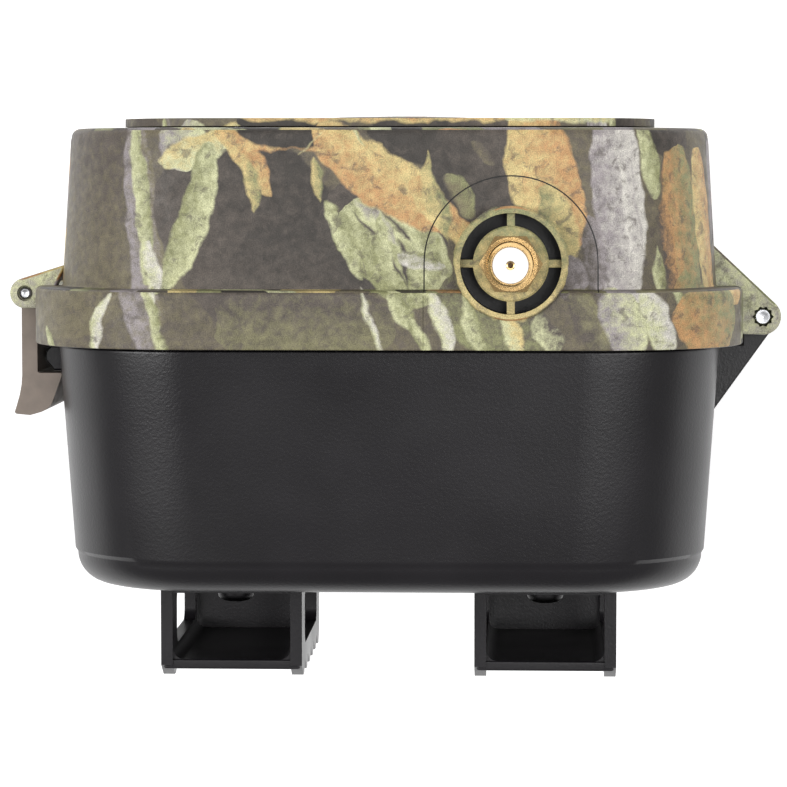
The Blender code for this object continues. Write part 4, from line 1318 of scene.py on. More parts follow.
def witness_tools(width):
    """Thin blades that scribe the mould line round the jack, following the cover's draft."""
    radius = WITNESS_RADIUS
    path_out = arc((0, 0), radius + width / 2, 0, -180, 40)
    path_in = arc((0, 0), radius - width / 2, -180, 0, 40)
    fall = (SEAM_HEIGHT - COVER_FRONT_HEIGHT) / 2 / -COVER_FRONT_Y
    tools = []
    for name, near, far, base in (
        ("wall_line", None, -FLANGE_DEPTH + 0.2, MID_Z + SEAM_HEIGHT / 2),
        ("rim_line", -FLANGE_DEPTH - 0.4, 1.0, FLANGE_HEIGHT),
    ):
        if near is None:
            end = far - JACK.y
            outline = [(radius + width / 2, end)] + path_out + [(-radius - width / 2, end)]
            outline += [(-radius + width / 2, end)] + path_in + [(radius - width / 2, end)]
            tool = flat_solid(name, [outline], 4.0, lifted(JACK.x, JACK.y, base + 1.78))
            for vertex in tool.data.vertices:
                vertex.co.z += fall * vertex.co.y
            tools.append(tool)
        else:
            for side in (-1, 1):
                x = JACK.x + side * radius
                low = (x - width / 2, near, base - 0.12)
                tools.append(box_solid(name, low, (x + width / 2, far, base + 2.0)))
    return tools


def flap_frame():
    """The matrix of the flap's hinge: its X out of the cover's side, its Y along it to the seam."""
    turn = -math.atan2((SEAM_WIDTH - COVER_FRONT_WIDTH) / 2, -COVER_FRONT_Y)
    hinge_y = -28.0
    x = cover_size(hinge_y)[0] / 2 + 0.3
    return lifted(x, hinge_y, MID_Z, Matrix.Rotation(turn, 4, "Z"))


def flap_pocket():
    pocket = box_solid("flap_pocket", (-0.9, -1.0, -12.4), (1.3, 14.6, 12.4))
    pocket.data.transform(flap_frame())
    place = flap_frame() @ lifted(-2.0, 6.0, 0, Matrix.Rotation(math.radians(90), 4, "Y"))
    hole = turned("socket_hole", [(0, -4), (3.8, -4), (3.8, 4), (0, 4)], 32, place)
    return [pocket, hole]


def paint_inside(obj):
    """Bare plastic wherever the print's film didn't reach: inside, at the seam and the recess. In the
    jack's deep recess the dark bare plastic also stands as painted shade.
    """
    obj.data.materials.clear()
    obj.data.materials.append(finish("print"))
    obj.data.materials.append(finish("raw"))
    for polygon in obj.data.polygons:
        centre = polygon.center
        normal = polygon.normal
        off_jack = math.hypot(centre.x - JACK.x, centre.y - JACK.y)
        # the jack's recess: bare plastic, and its darkness down there is partly painted shade
        in_shaded_recess = centre.z < BOSS_TOP - 0.9 and off_jack < RING_RADIUS - RING_WALL + 0.05
        at_seam = normal.y > 0.72 and centre.y > -GROOVE_DEPTH - 0.1
        inside = is_inside_cover(centre)
        if (in_shaded_recess and centre.z > 140) or at_seam or inside:
            polygon.material_index = 1


def is_inside_cover(centre):
    width, height, corner = cover_size(centre.y, WALL - 0.5)
    past_x = max(abs(centre.x) - width / 2 + corner, 0.0)
    past_z = max(abs(centre.z - MID_Z) - height / 2 + corner, 0.0)
    return math.hypot(past_x, past_z) < corner and centre.y > COVER_FRONT_Y + 0.1


def build_cover_shell(settings):
    shell = loft("cover_shell", cover_rings(settings), False)
    tools = [jack_ring()]
    for _, z in STATIONS:
        for at in outer_pair(z, HINGE_SPAN, EAR_THICK):
            tools.append(ear("cover_ear", cover_ear_outline(), at, EAR_THICK))
        for at in outer_pair(z, LATCH_SPAN, LATCH_EAR):
            tools.append(ear("latch_ear", latch_ear_outline(), at, LATCH_EAR))
    combine(shell, tools, "UNION")
    inner = RING_RADIUS - RING_WALL
    recess = turned(
        "jack_recess",
        [(0, RECESS_FLOOR), (inner, RECESS_FLOOR), (inner, 151), (0, 151)],
        64,
        lifted(JACK.x, JACK.y, 0),
    )
    cutters = [recess]
    cutters += witness_tools(settings.witness / MM)
    cutters += flap_pocket()
    for _, z in STATIONS:
        lever = LATCH_SPAN - 2 * LATCH_EAR
        pocket = turned(
            "lever_pocket",
            [(0, -lever / 2), (2.45, -lever / 2), (2.45, lever / 2), (0, lever / 2)],
            32,
            lifted(LATCH.x, LATCH.y, z),
        )
        cutters.append(pocket)
        for way in (-1, 1):
            at = z + way * (HINGE_SPAN / 2 - 0.9)
            cutters.append(star_bore("star", HINGE, at, 1.62, 1.34, 2.2))
            at = z + way * (LATCH_SPAN / 2 - 0.5)
            cutters.append(star_bore("bore", LATCH, at, 1.2, 1.2, 1.4, 12))
    combine(shell, cutters, "DIFFERENCE")
    combine(shell, jack_boss(), "UNION")
    bore = turned(
        "jack_bore",
        [(0, 130), (3.475, 130), (3.475, 160), (0, 160)],
        40,
        lifted(JACK.x, JACK.y, 0),
    )
    combine(shell, [bore], "DIFFERENCE")
    paint_inside(shell)
    lay_print(shell.data)
    return finish_piece(shell, "cover", "camo_plastic", "front_cover", sharp=32)


class TRAIL_OT_cover(bpy.types.Operator):
    """Build the printed cover with its flange, ears, jack ring and mould line"""

    bl_idname = "trail.cover"
    bl_label = "Front cover"

    def execute(self, context):
        build_cover_shell(context.scene.trail_cover)
        return {"FINISHED"}


class TRAIL_OT_front_panel(bpy.types.Operator):
    """Build the raised front panel, its lamp window and the light pipe"""

    bl_idname = "trail.front_panel"
    bl_label = "Front panel"

    def execute(self, context):
        build_front_panel(context.scene.trail_cover)
        return {"FINISHED"}


def build_front_panel(settings):
    low, high = body_box("front_bezel")
    middle = (low + high) / 2
    window_low, window_high = body_box("ir_window")
    window = window_high - window_low
    window_z = (window_low.z + window_high.z) / 2 - middle.z
    lens = middle_of("lens_glass")
    pir = middle_of("pir_lens")
    sensor = middle_of("light_sensor")
    openings = [
        rounded(high.x - low.x, high.z - low.z, 14.0, 20),
        rounded(window.x + 0.7, window.z + 0.7, 6.3, 10, (0, window_z)),
        circle(12.4, 56, (lens.x, lens.z - middle.z)),
        circle(14.9, 56, (pir.x, pir.z - middle.z)),
        circle(2.3, 24, (sensor.x, sensor.z - middle.z)),
    ]
    place = lifted(0, middle.y, middle.z, STOOD)
    panel = flat_solid("front_panel", openings, high.y - low.y, place)
    round_edges(panel, settings.lip / MM * 0.8, 4, 50)
    with_material(panel, finish("print"))
    lay_print(panel.data)
    finish_piece(panel, "cover", "camo_plastic", "front_bezel")
    pane_place = lifted(0, (window_low.y + window_high.y) / 2, (window_low.z + window_high.z) / 2, STOOD)
    pane = flat_solid("lamp_pane", [rounded(window.x, window.z, 6.0, 10)], 1.0, pane_place)
    round_edges(pane, 0.2, 2, 50)
    with_material(pane, finish("window"))
    finish_piece(pane, "cover", "dark_window", "ir_window")
    pipe_low, pipe_high = body_box("light_sensor")
    dome = [(0.0, 0.0)]
    radius = (pipe_high.x - pipe_low.x) / 2
    depth = pipe_high.y - pipe_low.y
    for degrees in (20, 45, 70, 90):
        angle = math.radians(degrees)
        dome.append((radius * math.sin(angle), PIPE_DOME - PIPE_DOME * math.cos(angle)))
    dome += [(radius, depth), (0.0, depth)]
    turn = lifted(sensor.x, pipe_low.y, sensor.z, Matrix.Rotation(math.radians(-90), 4, "X"))
    pipe = turned("light_pipe", dome, 32, turn)
    with_material(pipe, finish("glass"))
    finish_piece(pipe, "cover", "dark_window", "light_sensor")


# The rear case


def case_rings(steps):
    """The case's section, from its inner floor, out over the rim and back to the rear face."""
    rear_edge = 4.6
    floor = CASE_REAR_Y - WALL
    rings = [ring_at(case_size(floor, WALL + 2.0), floor, steps)]
    rings.append(ring_at(case_size(floor - 2.0, WALL), floor - 2.0, steps))
    lip = (SEAM_WIDTH - 10.4, SEAM_HEIGHT - 10.4, CORNER - 5.2)
    rings.append(ring_at(case_size(3.0, WALL), 3.0, steps))
    rings.append(ring_at(lip, 3.0, steps))
    rings.append(ring_at(lip, GAP + 0.1, steps))
    rings.append(ring_at(case_size(GAP), GAP, steps, 0.3))
    rings.append(ring_at(case_size(GAP + 0.1), GAP + 0.1, steps, 0.1))
    rings.append(ring_at(case_size(GAP + 0.4), GAP + 0.4, steps))
    for y in (4.0, 12.0, 22.0, CASE_REAR_Y - rear_edge - 0.6):
        rings.append(ring_at(case_size(y), y, steps))
    rings += rounded_turn(case_size, CASE_REAR_Y, rear_edge, 1, steps, 10)
    rings.append(ring_at(case_size(CASE_REAR_Y), CASE_REAR_Y, steps, rear_edge + 1.0))
    return rings


def seal_rib(steps):
    inner = tuple(side - 1.4 * share for side, share in zip(SEAL, (1, 1, 0.5)))
    outer = tuple(side + 1.4 * share for side, share in zip(SEAL, (1, 1, 0.5)))
    rings = [
        ring_at(inner, 0.9, steps),
        ring_at(inner, -0.8, steps),
        ring_at(inner, -1.0, steps, -0.2),
        ring_at(outer, -1.0, steps, 0.2),
        ring_at(outer, -0.8, steps),
        ring_at(outer, 0.9, steps),
    ]
    return loft("seal_rib", rings, False)


def build_case_shell(settings):
    steps = settings.corner_steps
    shell = loft("case_shell", case_rings(steps), True)
    tools = []
    for _, z in STATIONS:
        thickness = HINGE_SPAN - 2 * EAR_THICK - 2 * GAP
        tools.append(ear("case_ear", case_ear_outline(), z, thickness))
    for x in (-30.0, 30.0):
        tools.append(box_solid("foot", (x - 6, 24, 0), (x + 6, 30, 7.5), 0.8, 4))
    boss = [(0, 1.0), (7.7, 1.0), (8.0, 1.3), (8.0, 13.0), (0, 13.0)]
    tools.append(turned("tripod_boss", boss, 48, lifted(0, 17.0, 0)))
    combine(shell, tools, "UNION")
    bore = turned("bore", [(0, -1), (4.6, -1), (4.6, 10.9), (0, 10.9)], 48, lifted(0, 17.0, 0))
    combine(shell, [bore], "DIFFERENCE")
    gather(shell, [seal_rib(steps)])
    with_material(shell, finish("case"))
    return finish_piece(shell, "case", "black_plastic", "rear_case", sharp=32)


def build_keepers():
    """The lugs on the case, ramped so that the latch hooks ride up and snap behind them."""
    for where, z in STATIONS:
        node = "catch_keeper_" + where
        low, high = body_box(node)
        outline = [
            (low.x, low.y),
            (high.x - 0.9, low.y),
            (high.x, low.y + 0.9),
            (high.x, high.y - 1.6),
            (high.x - 1.3, high.y),
            (low.x, high.y),
        ]
        lug = flat_solid("keeper_" + where, [outline], high.z - low.z, lifted(0, 0, z))
        round_edges(lug, 0.25, 3, 30)
        with_material(lug, finish("case"))
        finish_piece(lug, "case", "black_plastic", node)


class TRAIL_OT_case(bpy.types.Operator):
    """Build the rear case with its hinge ears, feet, tripod boss and latch keepers"""

    bl_idname = "trail.case"
    bl_label = "Rear case"

    def execute(self, context):
        build_case_shell(context.scene.trail_cover)
        build_keepers()
        return {"FINISHED"}


# Strap brackets


def bracket_side_outline():
    """The toothed side of a bracket, as (depth, height) from the bracket's middle."""
    base = CASE_REAR_Y + GAP
    low = -BRACKET_HEIGHT / 2
    pitch = BRACKET_HEIGHT / 6
    valley = TOOTH_Y - 1.9
    tip = TOOTH_Y
    outline = [(base, -low), (base, low)]
    for tooth in range(6):
        start = low + tooth * pitch
        outline += [(valley, start), (tip, start + 0.25 * pitch), (tip, start + 0.5 * pitch)]
    outline.append((valley, -low))
    slot_low = base + 1.8
    slot_high = STEP_Y
    slot = rounded(slot_high - slot_low, 28.0, 2.0, 6, ((slot_low + slot_high) / 2, 0))
    return outline, slot


def build_bracket(where):
    node = "strap_bracket_" + where
    low, high = body_box(node)
    middle_x = (low.x + high.x) / 2
    half = (high.x - low.x) / 2
    wall = 1.8
    outline, slot = bracket_side_outline()
    pieces = []
    side_turn = Matrix.Rotation(math.radians(90), 4, "Z") @ STOOD
    for way in (-1, 1):
        place = lifted(middle_x + way * (half - wall / 2), 0, BRACKET_Z, side_turn)
        side = flat_solid("side", [outline, slot], wall, place)
        round_edges(side, 0.35, 3, 30)
        pieces.append(side)
    inner = half - 0.3
    web_outline = rounded(2 * inner, BRACKET_HEIGHT - 0.6, 0.5, 4)
    web = flat_solid("web", [web_outline], 1.5, lifted(middle_x, WEB_Y, BRACKET_Z, STOOD))
    round_edges(web, 0.3, 3, 50)
    base_y = CASE_REAR_Y + GAP + 0.8
    holes = [circle(1.7, 24, (0, rise)) for rise in (-12.0, 12.0)]
    floor = flat_solid("floor", [web_outline] + holes, 1.6, lifted(middle_x, base_y, BRACKET_Z, STOOD))
    bracket = pieces[0]
    bracket.name = "bracket_" + where
    fillets = [inner_fillet(middle_x, way, half - wall, WEB_Y - 0.75) for way in (-1, 1)]
    shelf = box_solid(
        "shelf",
        (middle_x - inner, base_y, 87.4),
        (middle_x + inner, WEB_Y, 89.0),
    )
    gather(bracket, pieces[1:] + [web, floor, shelf] + fillets)
    with_material(bracket, finish("case"))
    finish_piece(bracket, "case", "black_plastic", node)


def inner_fillet(middle_x, way, reach, y, radius=1.6):
    """A concave fillet up the inside corner between a bracket's side and its web."""
    corner = (middle_x + way * (reach + 0.15), y + 0.15)
    centre = (middle_x + way * (reach - radius), y - radius)
    sweep = (0, 90) if way > 0 else (180, 90)
    outline = [corner] + arc(centre, radius, sweep[0], sweep[1], 8)
    if way < 0:
        outline = [outline[0]] + outline[1:][::-1]
    return flat_solid("fillet", [outline], BRACKET_HEIGHT - 1.4, lifted(0, 0, BRACKET_Z))


def build_bracket_screws():
    """Pan head screws with a cross recess, two to a bracket."""
    for where in ("left", "right"):
        low, high = body_box(f"bracket_screw_{where}_1")
        low_2, high_2 = body_box(f"bracket_screw_{where}_2")
        screw = cross_screw("screws_" + where, (high.x - low.x) / 2, 1.8, high.y - low.y)
        middle = ((low.x + high.x) / 2, high.y - 1.8, (low.z + high_2.z) / 2)
        repeat(screw, finish("black_steel"), middle, 1, 2, 1.0, low_2.z - low.z)
        finish_piece(
            screw,
            "case",
            "steel",
            f"bracket_screw_{where}_1",
            f"bracket_screw_{where}_2",
        )


def cross_screw(name, radius, head, total):
    """A screw facing +Y, its head's underside at the origin."""
    profile = [(0, head - total), (1.1, head - total), (1.3, head - total + 0.4), (1.3, 0), (radius, 0)]
    for step in range(6):
        angle = math.radians(step * 18)
        profile.append((radius * math.cos(angle) ** 0.6, head * (0.35 + 0.65 * math.sin(angle))))
    profile.append((0, head))
    screw = turned(name, profile, 28, Matrix.Rotation(math.radians(-90), 4, "X"))
    tools = []
    for size in ((1.5, 0.3), (0.3, 1.5)):
        x, z = size
        tools.append(box_solid("slot", (-x, head - 0.9, -z), (x, head + 1.0, z)))
    combine(screw, tools, "DIFFERENCE")
    return screw


class TRAIL_OT_brackets(bpy.types.Operator):
    """Build the two strap brackets and their screws"""

    bl_idname = "trail.brackets"
    bl_label = "Strap brackets"

    def execute(self, context):
        for where in ("left", "right"):
            build_bracket(where)
        build_bracket_screws()
        return {"FINISHED"}


# Latches, pins and the antenna jack


def lever_outline():
    """The lever's section: barrel, arm, hook and the flared finger lip."""
    arm = [
        (-1.3, 2.0),
        (-1.3, 12.2),
        (-1.6, 12.4),
        (-4.9, 12.4),
        (-5.1, 12.7),
        (-4.7, 13.8),
        (-3.9, 16.0),
        (-3.4, 17.3),
        (-2.6, 18.1),
        (-1.7, 18.5),
        (-0.1, 18.95),
        (2.0, 18.75),
        (2.3, 18.5),
        (1.9, 17.2),
        (1.5, 15.8),
        (1.2, 14.2),
        (1.1, 12.8),
        (1.1, 2.0),
    ]
    return arc((0, 0), 1.95, 40, -220, 28) + arm


def build_levers():
    thickness = LATCH_SPAN - 2 * LATCH_EAR - 2 * GAP
    for where, z in STATIONS:
        outlines = [lever_outline(), circle(1.2, 28)]
        place = lifted(LATCH.x, LATCH.y, z)
        lever = flat_solid("lever_" + where, outlines, thickness, place)
        round_edges(lever, 0.28, 3, 60)
        with_material(lever, finish("latch"))
        finish_piece(lever, "latch_" + where, "latch_plastic", "latch_lever_" + where)


def build_pins():
    """The plain turned pins of the hinge and the latches."""
    for where, z in STATIONS:
        half = (HINGE_SPAN - PIN_PLAY) / 2
        profile = pin_profile(HINGE_PIN_RADIUS, half)
        pin = turned("pin_hinge_" + where, profile, 32, lifted(HINGE.x, HINGE.y, z))
        with_material(pin, finish("steel"))
        finish_piece(pin, "cover", "steel", "hinge_pin_" + where)
        half = (LATCH_SPAN - PIN_PLAY) / 2
        profile = pin_profile(LATCH_PIN_RADIUS, half)
        pin = turned("pin_latch_" + where, profile, 24, lifted(LATCH.x, LATCH.y, z))
        with_material(pin, finish("steel"))
        finish_piece(pin, "cover", "steel", "latch_pin_" + where)


def pin_profile(radius, half):
    """A pin with broken edges and a shallow cup in its upper end."""
    flat = radius - PIN_EDGE
    lower = [(0, -half), (flat, -half), (radius, -half + PIN_EDGE)]
    upper = [(radius, half - PIN_EDGE), (flat, half), (radius * 0.45, half), (0, half - PIN_EDGE)]
    return lower + upper


def build_jack(settings):
    """The threaded jack, its contact, its insulator and its nut."""
    pitch = settings.pitch / MM
    depth = settings.depth / MM
    radius = (body_box("sma_jack")[1].x - body_box("sma_jack")[0].x) / 2
    around = 64
    start = BOSS_TOP - 0.4
    end = JACK_TOP - 0.55
    rows = int((end - start) / pitch * 10)
    rings = [[(2.62 * math.cos(a), 2.62 * math.sin(a), 141.3) for a in turn_angles(around)]]
    rings.append([(radius * math.cos(a), radius * math.sin(a), 141.3) for a in turn_angles(around)])
    for row in range(rows + 1):
        z = start + (end - start) * row / rows
        fade = min(1.0, (end - z) / 0.3, (z - start) / 0.3)
        ring = []
        for angle in turn_angles(around):
            phase = (z / pitch - angle / math.tau) % 1.0
            wave = abs(2 * phase - 1)
            groove = depth * min(1.0, max(0.0, (wave - 0.12) / 0.76)) * fade
            ring.append(((radius - groove) * math.cos(angle), (radius - groove) * math.sin(angle), z))
        rings.append(ring)
    tip = [
        (radius - 0.2, JACK_TOP - 0.3),
        (2.82, JACK_TOP),
        (2.68, JACK_TOP),
        (JACK_BORE, JACK_TOP - 0.12),
    ]
    for tip_radius, z in tip:
        rings.append([(tip_radius * math.cos(a), tip_radius * math.sin(a), z) for a in turn_angles(around)])
    body = loft("antenna_jack", rings, False)
    body.data.transform(lifted(JACK.x, JACK.y, 0))
    contact = [
        (0.42, JACK_TOP - 3.0),
        (0.62, JACK_TOP - 3.0),
        (0.62, JACK_TOP - 0.25),
        (0.42, JACK_TOP - 0.3),
    ]
    gather(body, [turned("contact", contact, 24, lifted(JACK.x, JACK.y, 0), True)])
    with_material(body, finish("gold"))
    finish_piece(body, "cover", "gold_plate", "sma_jack", sharp=50)
    top = JACK_TOP - 0.16
    core = [
        (0.66, JACK_TOP - 3.2),
        (0.66, top - 0.05),
        (0.75, top),
        (2.5, top),
        (INSULATOR_RADIUS, top - 0.05),
        (INSULATOR_RADIUS, INSULATOR_LOW),
        (0, INSULATOR_LOW),
        (0, JACK_TOP - 3.2),
    ]
    insulator = turned("jack_core", core, 40, lifted(JACK.x, JACK.y, 0), True)
    with_material(insulator, finish("insulator"))
    finish_piece(insulator, "cover", "insulator", "sma_insulator")
    build_nut()


def turn_angles(count):
    return [math.tau * i / count for i in range(count)]


def build_nut():
    low, high = body_box("sma_nut")
    across = (high.y - low.y) / 2
    corner = across / math.cos(math.radians(30))
    height = high.z - low.z
    hexagon = arc((0, 0), corner, 0, 300, 5)
    nut = flat_solid("jack_nut", [hexagon], height, lifted(JACK.x, JACK.y, (low.z + high.z) / 2))
    limit = [(0, -height / 2), (across - 0.1, -height / 2), (corner, -height / 2 + 0.5)]
    limit += [(corner, height / 2 - 0.5), (across - 0.1, height / 2), (0, height / 2)]
    place = lifted(JACK.x, JACK.y, (low.z + high.z) / 2)
    combine(nut, [turned("chamfer", limit, 48, place)], "INTERSECT")
    hole = [(0, -4), (3.3, -4), (3.3, 4), (0, 4)]
    combine(nut, [turned("hole", hole, 40, place)], "DIFFERENCE")
    with_material(nut, finish("gold"))
    finish_piece(nut, "cover", "gold_plate", "sma_nut", sharp=25)


class TRAIL_OT_hardware(bpy.types.Operator):
    """Build the latch levers, the pins and the antenna jack with its nut"""

    bl_idname = "trail.hardware"
    bl_label = "Latches, pins and jack"

    def execute(self, context):
        build_levers()
        build_pins()
        build_jack(context.scene.trail_jack)
        return {"FINISHED"}


# What looks out of the front


def build_lens():
    low, high = body_box("lens_housing")
    middle = (low + high) / 2
    front = low.y
    outer = (high.x - low.x) / 2
    facing = lifted(middle.x, front, middle.z, Matrix.Rotation(math.radians(-90), 4, "X"))
    barrel = [
        (outer - 0.8, 0.0),
        (outer - 0.25, 0.2),
        (outer, 0.8),
        (outer, 2.2),
        (outer - 1.4, 2.2),
        (outer - 1.4, high.y - low.y),
        (5.0, high.y - low.y),
        (5.0, 5.2),
    ]
    rings = 5
    for ring in range(rings):
        share = ring / rings
        radius = 5.0 + (8.6 - 5.0) * share
        depth = 5.2 - 4.6 * share
        barrel += [(radius + 0.25, depth), (radius + 0.25, depth - 0.55)]
    barrel.append((9.0, 0.15))
    housing = turned("lens_hood", barrel, 64, facing, True)
    with_material(housing, finish("case"))
    finish_piece(housing, "cover", "black_plastic", "lens_housing")
    glass_low, glass_high = body_box("lens_glass")
    radius = (glass_high.x - glass_low.x) / 2
    depth = glass_high.y - glass_low.y
    dome = [(0.0, 0.0)]
    for step in range(1, 9):
        share = step / 8
        dome.append((radius * share, 1.2 * share * share))
    dome += [(radius, depth), (0.0, depth)]
    turn = Matrix.Rotation(math.radians(-90), 4, "X")
    glass = turned("lens_front", dome, 48, lifted(middle.x, glass_low.y, middle.z, turn))
    with_material(glass, finish("glass"))
    finish_piece(glass, "cover", "glass", "lens_glass")


def build_motion_lens():
    """The milky dome with its rings of small lenses."""
    low, high = body_box("pir_lens")
    middle = (low + high) / 2
    radius = (high.x - low.x) / 2
    rise = 3.0
    rim = high.y - low.y
    profile = [(0.0, 0.0)]
    fine = 44
    for step in range(1, fine + 1):
        share = step / fine
        ripple = LENS_RIPPLE * math.sin(share * math.tau * 7) * (1 - share**8)
        angle = share * math.pi / 2
        profile.append((radius * math.sin(angle), rise * (1 - math.cos(angle)) + LENS_RIPPLE + ripple))
    profile += [(radius, rim), (radius - 2.0, rim)]
    for step in range(8, -1, -1):
        share = step / 8
        inner = (radius - 2.0) * math.sin(share * math.pi / 2)
        profile.append((inner, 1.2 + rise * (1 - math.cos(share * math.pi / 2))))
    facing = lifted(middle.x, low.y, middle.z, Matrix.Rotation(math.radians(-90), 4, "X"))
    dome = turned("motion_lens", profile, 72, facing)
    with_material(dome, finish("lens"))
    finish_piece(dome, "cover", "white_lens", "pir_lens")


def build_lamps():
    """Infrared lamps in rows behind their window."""
    low, high = body_box("led_array")
    middle = (low + high) / 2
    profile = [(0.0, high.y - low.y), (2.45, high.y - low.y), (2.45, 2.2), (2.1, 2.1)]
    for step in range(5, -1, -1):
        angle = math.radians(step * 18)
        profile.append((2.1 * math.sin(angle), 2.1 - 2.1 * math.cos(angle)))
    lamp = turned("lamps", profile, 20, Matrix.Rotation(math.radians(-90), 4, "X"))
    columns, rows = 9, 4
    pitch = (high.x - low.x - 5.0) / (columns - 1)
    row_pitch = (high.z - low.z - 5.0) / (rows - 1)
    repeat(lamp, finish("lamp"), (middle.x, low.y, middle.z), columns, rows, pitch, row_pitch)
    finish_piece(lamp, "cover", "white_lens", "led_array")


class TRAIL_OT_optics(bpy.types.Operator):
    """Build the lens, the motion lens and the infrared lamps"""

    bl_idname = "trail.optics"
    bl_label = "Optics"

    def execute(self, context):
        build_lens()
        build_motion_lens()
        build_lamps()
        return {"FINISHED"}


# Inside


def build_cells():
    """Eight cells, every other one turned over."""
    low, high = body_box("battery_1")
    last = middle_of("battery_8")
    first = middle_of("battery_1")
    radius = (high.x - low.x) / 2
    half = (high.z - low.z) / 2
    profile = [
        (0.0, -half),
        (radius - 1.6, -half),
        (radius - 1.4, -half + 0.25),
        (radius - 0.4, -half + 0.25),
        (radius, -half + 0.7),
        (radius, half - 2.1),
        (radius - 0.5, half - 1.6),
        (2.9, half - 1.6),
        (2.7, half - 1.4),
        (2.7, half - 0.2),
        (2.5, half),
        (0.0, half),
    ]
    cell = turned("cells", profile, 32)
    along = cell.data.attributes.new("along", "FLOAT", "POINT")
    for vertex in cell.data.vertices:
        along.data[vertex.index].value = (vertex.co.z + half) / (2 * half)
    middle = (first + last) / 2
    step = body_box("battery_2")[0].x - low.x
    repeat(cell, finish("sleeve"), middle, 4, 2, step, last.z - first.z, math.pi)
    steel_ends(cell.data, radius)
    finish_piece(cell, "case", "cell_wrap", *[f"battery_{n}" for n in range(1, 9)])


def steel_ends(mesh, radius):
    mesh.materials.append(finish("steel"))
    for polygon in mesh.polygons:
        if abs(polygon.normal.z) > 0.9 or polygon.area < 0.9 * radius * 0.1:
            polygon.material_index = 1


def build_gasket(steps):
    """The seal's cord, with a rounded crown."""
    width = 3.4
    low, high = body_box("cover_gasket")
    half = width / 2
    middle_y = (low.y + high.y) / 2
    depth = (high.y - low.y) / 2
    rings = []
    for i in range(16):
        angle = math.tau * i / 16
        grow = half * math.cos(angle)
        size = (SEAL[0] + 2 * grow, SEAL[1] + 2 * grow, SEAL[2] + grow)
        rings.append(ring_at(size, middle_y + depth * math.sin(angle), steps))
    seal = loft("seal_cord", rings, False)
    with_material(seal, finish("rubber"))
    finish_piece(seal, "cover", "rubber", "cover_gasket")


def build_keys():
    """Silicone keys with dished tops."""
    for node in ("key_ok", "key_up", "key_down", "key_left", "key_right", "key_menu"):
        low, high = body_box(node)
        middle = (low + high) / 2
        flange = (high.x - low.x) / 2
        cap = flange - 1.0
        profile = [
            (0.0, low.y),
            (flange, low.y),
            (flange, low.y + 1.2),
            (cap, low.y + 1.2),
            (cap, high.y - 0.55),
            (cap - 0.2, high.y - 0.12),
            (cap - 0.6, high.y),
            (cap - 1.4, high.y - 0.12),
            (0.0, high.y - 0.3),
        ]
        place = lifted(middle.x, 0, middle.z, Matrix.Rotation(math.radians(-90), 4, "X"))
        key = turned(node.replace("key_", "button_"), profile, 32, place)
        with_material(key, finish("key"))
        finish_piece(key, node, "key_rubber", node)


CARRIED = {
    "battery_tray": "case",
    "contact_strip_lower": "steel",
    "contact_strip_middle": "steel",
    "contact_strip_upper": "steel",
    "spring_contacts": "case",
    "tripod_insert": "brass",
    "led_board": "board",
    "camera_module": "board",
    "pir_sensor": "steel",
    "main_board": "board",
    "inner_panel": "case",
    "lcd_screen": "screen",
    "card_slot": "steel",
    "usb_port": "steel",
    "dc_jack": "steel",
    "coax_pigtail": "sheath",
    "mode_switch": "key",
    "sd_card": "card",
    "port_flap": "rubber",
}


def dress_carried_nodes():
    """Gives the nodes whose CAD shape stays their finish."""
    for node, name in CARRIED.items():
        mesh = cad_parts[node].data
        mesh.materials.clear()
        mesh.materials.append(finish(name))


class TRAIL_OT_inside(bpy.types.Operator):
    """Build the cells, the seal and the keys, and dress the parts that the frame carries"""

    bl_idname = "trail.inside"
    bl_label = "Inside"

    def execute(self, context):
        build_cells()
        build_gasket(context.scene.trail_cover.corner_steps)
        build_keys()
        dress_carried_nodes()
        return {"FINISHED"}


# Stage


def softbox(name, place, aim, width, height, watts):
    data = bpy.data.lights.new(name, "AREA")
    data.shape = "RECTANGLE"
    data.size = width
    data.size_y = height
    data.energy = watts
    lamp = bpy.data.objects.new(name, data)
    bpy.context.scene.collection.objects.link(lamp)
    lamp.location = place
    lamp.rotation_euler = (Vector(aim) - Vector(place)).to_track_quat("-Z", "Y").to_euler()
    return lamp


def build_floor():
    floor = box_solid("floor", (-3000, -3000, -20), (3000, 3000, -0.2))
    material, tree, shader = new_material("studio_floor")
    point = object_point(tree)
    varied(tree, shader, paint(250, 250, 250), point, 0.01, 0.01)
    rough(tree, shader, point, 0.02, 0.8, 0.9)
    shader.inputs["Emission Color"].default_value = (1.0, 1.0, 1.0, 1.0)
    shader.inputs["Emission Strength"].default_value = 0.42
    with_material(floor, material)
    floor.data.transform(TO_FRAME)


def place_camera():
    """Looks down on the top, from a little in front of it and to the hinge side."""
    data = bpy.data.cameras.new("studio_camera")
    data.lens = 150.0
    data.sensor_width = 36.0
    data.clip_end = 20.0
    camera = bpy.data.objects.new("studio_camera", data)
    bpy.context.scene.collection.objects.link(camera)
    eye = TO_FRAME @ Vector((-21.7, -25.75, 623.3))
    target = TO_FRAME @ Vector((-1.79, 6.18, 148.0))
    back = (eye - target).normalized()
    front = Vector((0.0, -1.0, 0.0))
    upward = (front - back * front.dot(back)).normalized()
    right = upward.cross(back)
    turn = Matrix((right, upward, back)).transposed().to_4x4()
    camera.matrix_world = Matrix.Translation(eye) @ turn
    bpy.context.scene.camera = camera


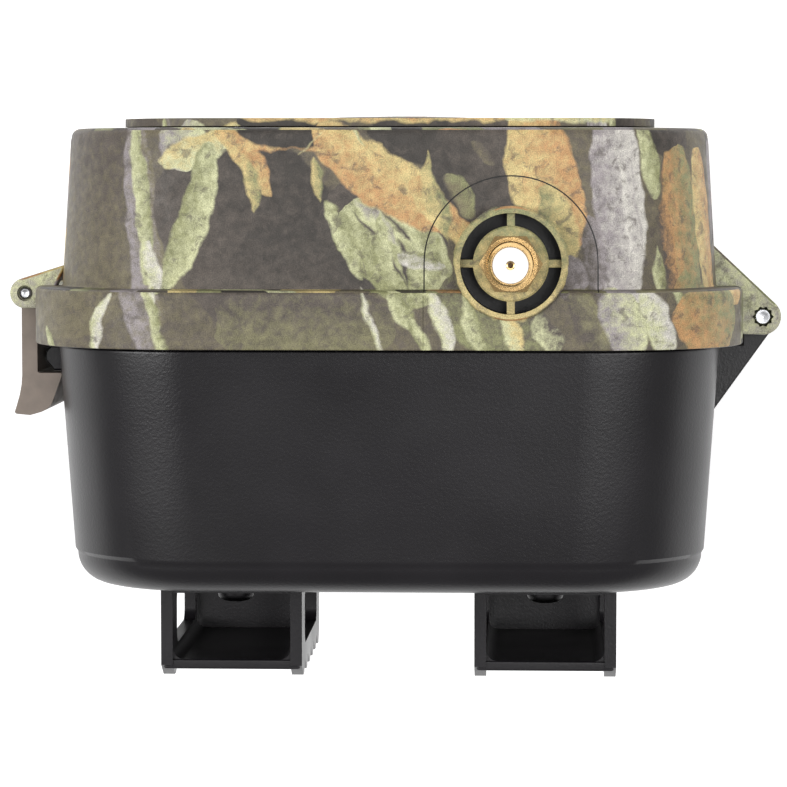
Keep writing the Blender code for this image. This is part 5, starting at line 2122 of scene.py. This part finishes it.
def build_lights():
    middle = (0.0, 0.0, 0.1)
    softbox("latch_side_box", (1.05, -0.1, 1.35), middle, 0.3, 1.2, 15.0)
    softbox("hinge_side_box", (-0.78, -0.1, 1.5), middle, 0.45, 1.3, 11.5)
    softbox("front_box", (0.0, -0.72, 1.6), middle, 1.2, 0.4, 4.5)
    world = bpy.data.worlds.new("studio")
    world.use_nodes = True
    background = world.node_tree.nodes["Background"]
    background.inputs["Color"].default_value = (1.0, 1.0, 1.0, 1.0)
    background.inputs["Strength"].default_value = 0.32
    bpy.context.scene.world = world
    bpy.context.scene.view_settings.view_transform = "Standard"


class TRAIL_OT_stage(bpy.types.Operator):
    """Set up the floor, the soft lights and the camera"""

    bl_idname = "trail.stage"
    bl_label = "Stage"

    def execute(self, context):
        build_floor()
        build_lights()
        place_camera()
        return {"FINISHED"}


STEPS = (
    TRAIL_OT_stage,
    TRAIL_OT_cover,
    TRAIL_OT_front_panel,
    TRAIL_OT_case,
    TRAIL_OT_brackets,
    TRAIL_OT_hardware,
    TRAIL_OT_optics,
    TRAIL_OT_inside,
)


class TRAIL_PT_panel(bpy.types.Panel):
    """Lists the trail camera's pieces and their settings"""

    bl_idname = "TRAIL_PT_panel"
    bl_label = "Trail Camera"
    bl_space_type = "VIEW_3D"
    bl_region_type = "UI"
    bl_category = "Trail Camera"

    def draw(self, context):
        layout = self.layout
        for step in STEPS:
            layout.operator(step.bl_idname)
        for name, _ in SETTINGS:
            group = getattr(context.scene, name)
            box = layout.box()
            for key in group.__annotations__:
                box.prop(group, key)


SETTINGS = (
    ("trail_cover", CoverSettings),
    ("trail_print", PrintColours),
    ("trail_plastic", PlasticColours),
    ("trail_metal", MetalColours),
    ("trail_jack", JackSettings),
)


def register():
    for _, group in SETTINGS:
        bpy.utils.register_class(group)
    for step in STEPS:
        bpy.utils.register_class(step)
    bpy.utils.register_class(TRAIL_PT_panel)
    for name, group in SETTINGS:
        setattr(bpy.types.Scene, name, PointerProperty(type=group))


def unregister():
    for name, _ in SETTINGS:
        delattr(bpy.types.Scene, name)
    bpy.utils.unregister_class(TRAIL_PT_panel)
    for step in reversed(STEPS):
        bpy.utils.unregister_class(step)
    for _, group in reversed(SETTINGS):
        bpy.utils.unregister_class(group)


def write_sizes():
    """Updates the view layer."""
    bpy.context.view_layer.update()


def main():
    register()
    for step in STEPS:
        category, name = step.bl_idname.split(".")
        getattr(getattr(bpy.ops, category), name)()
    write_sizes()


if __name__ == "__main__":
    main()
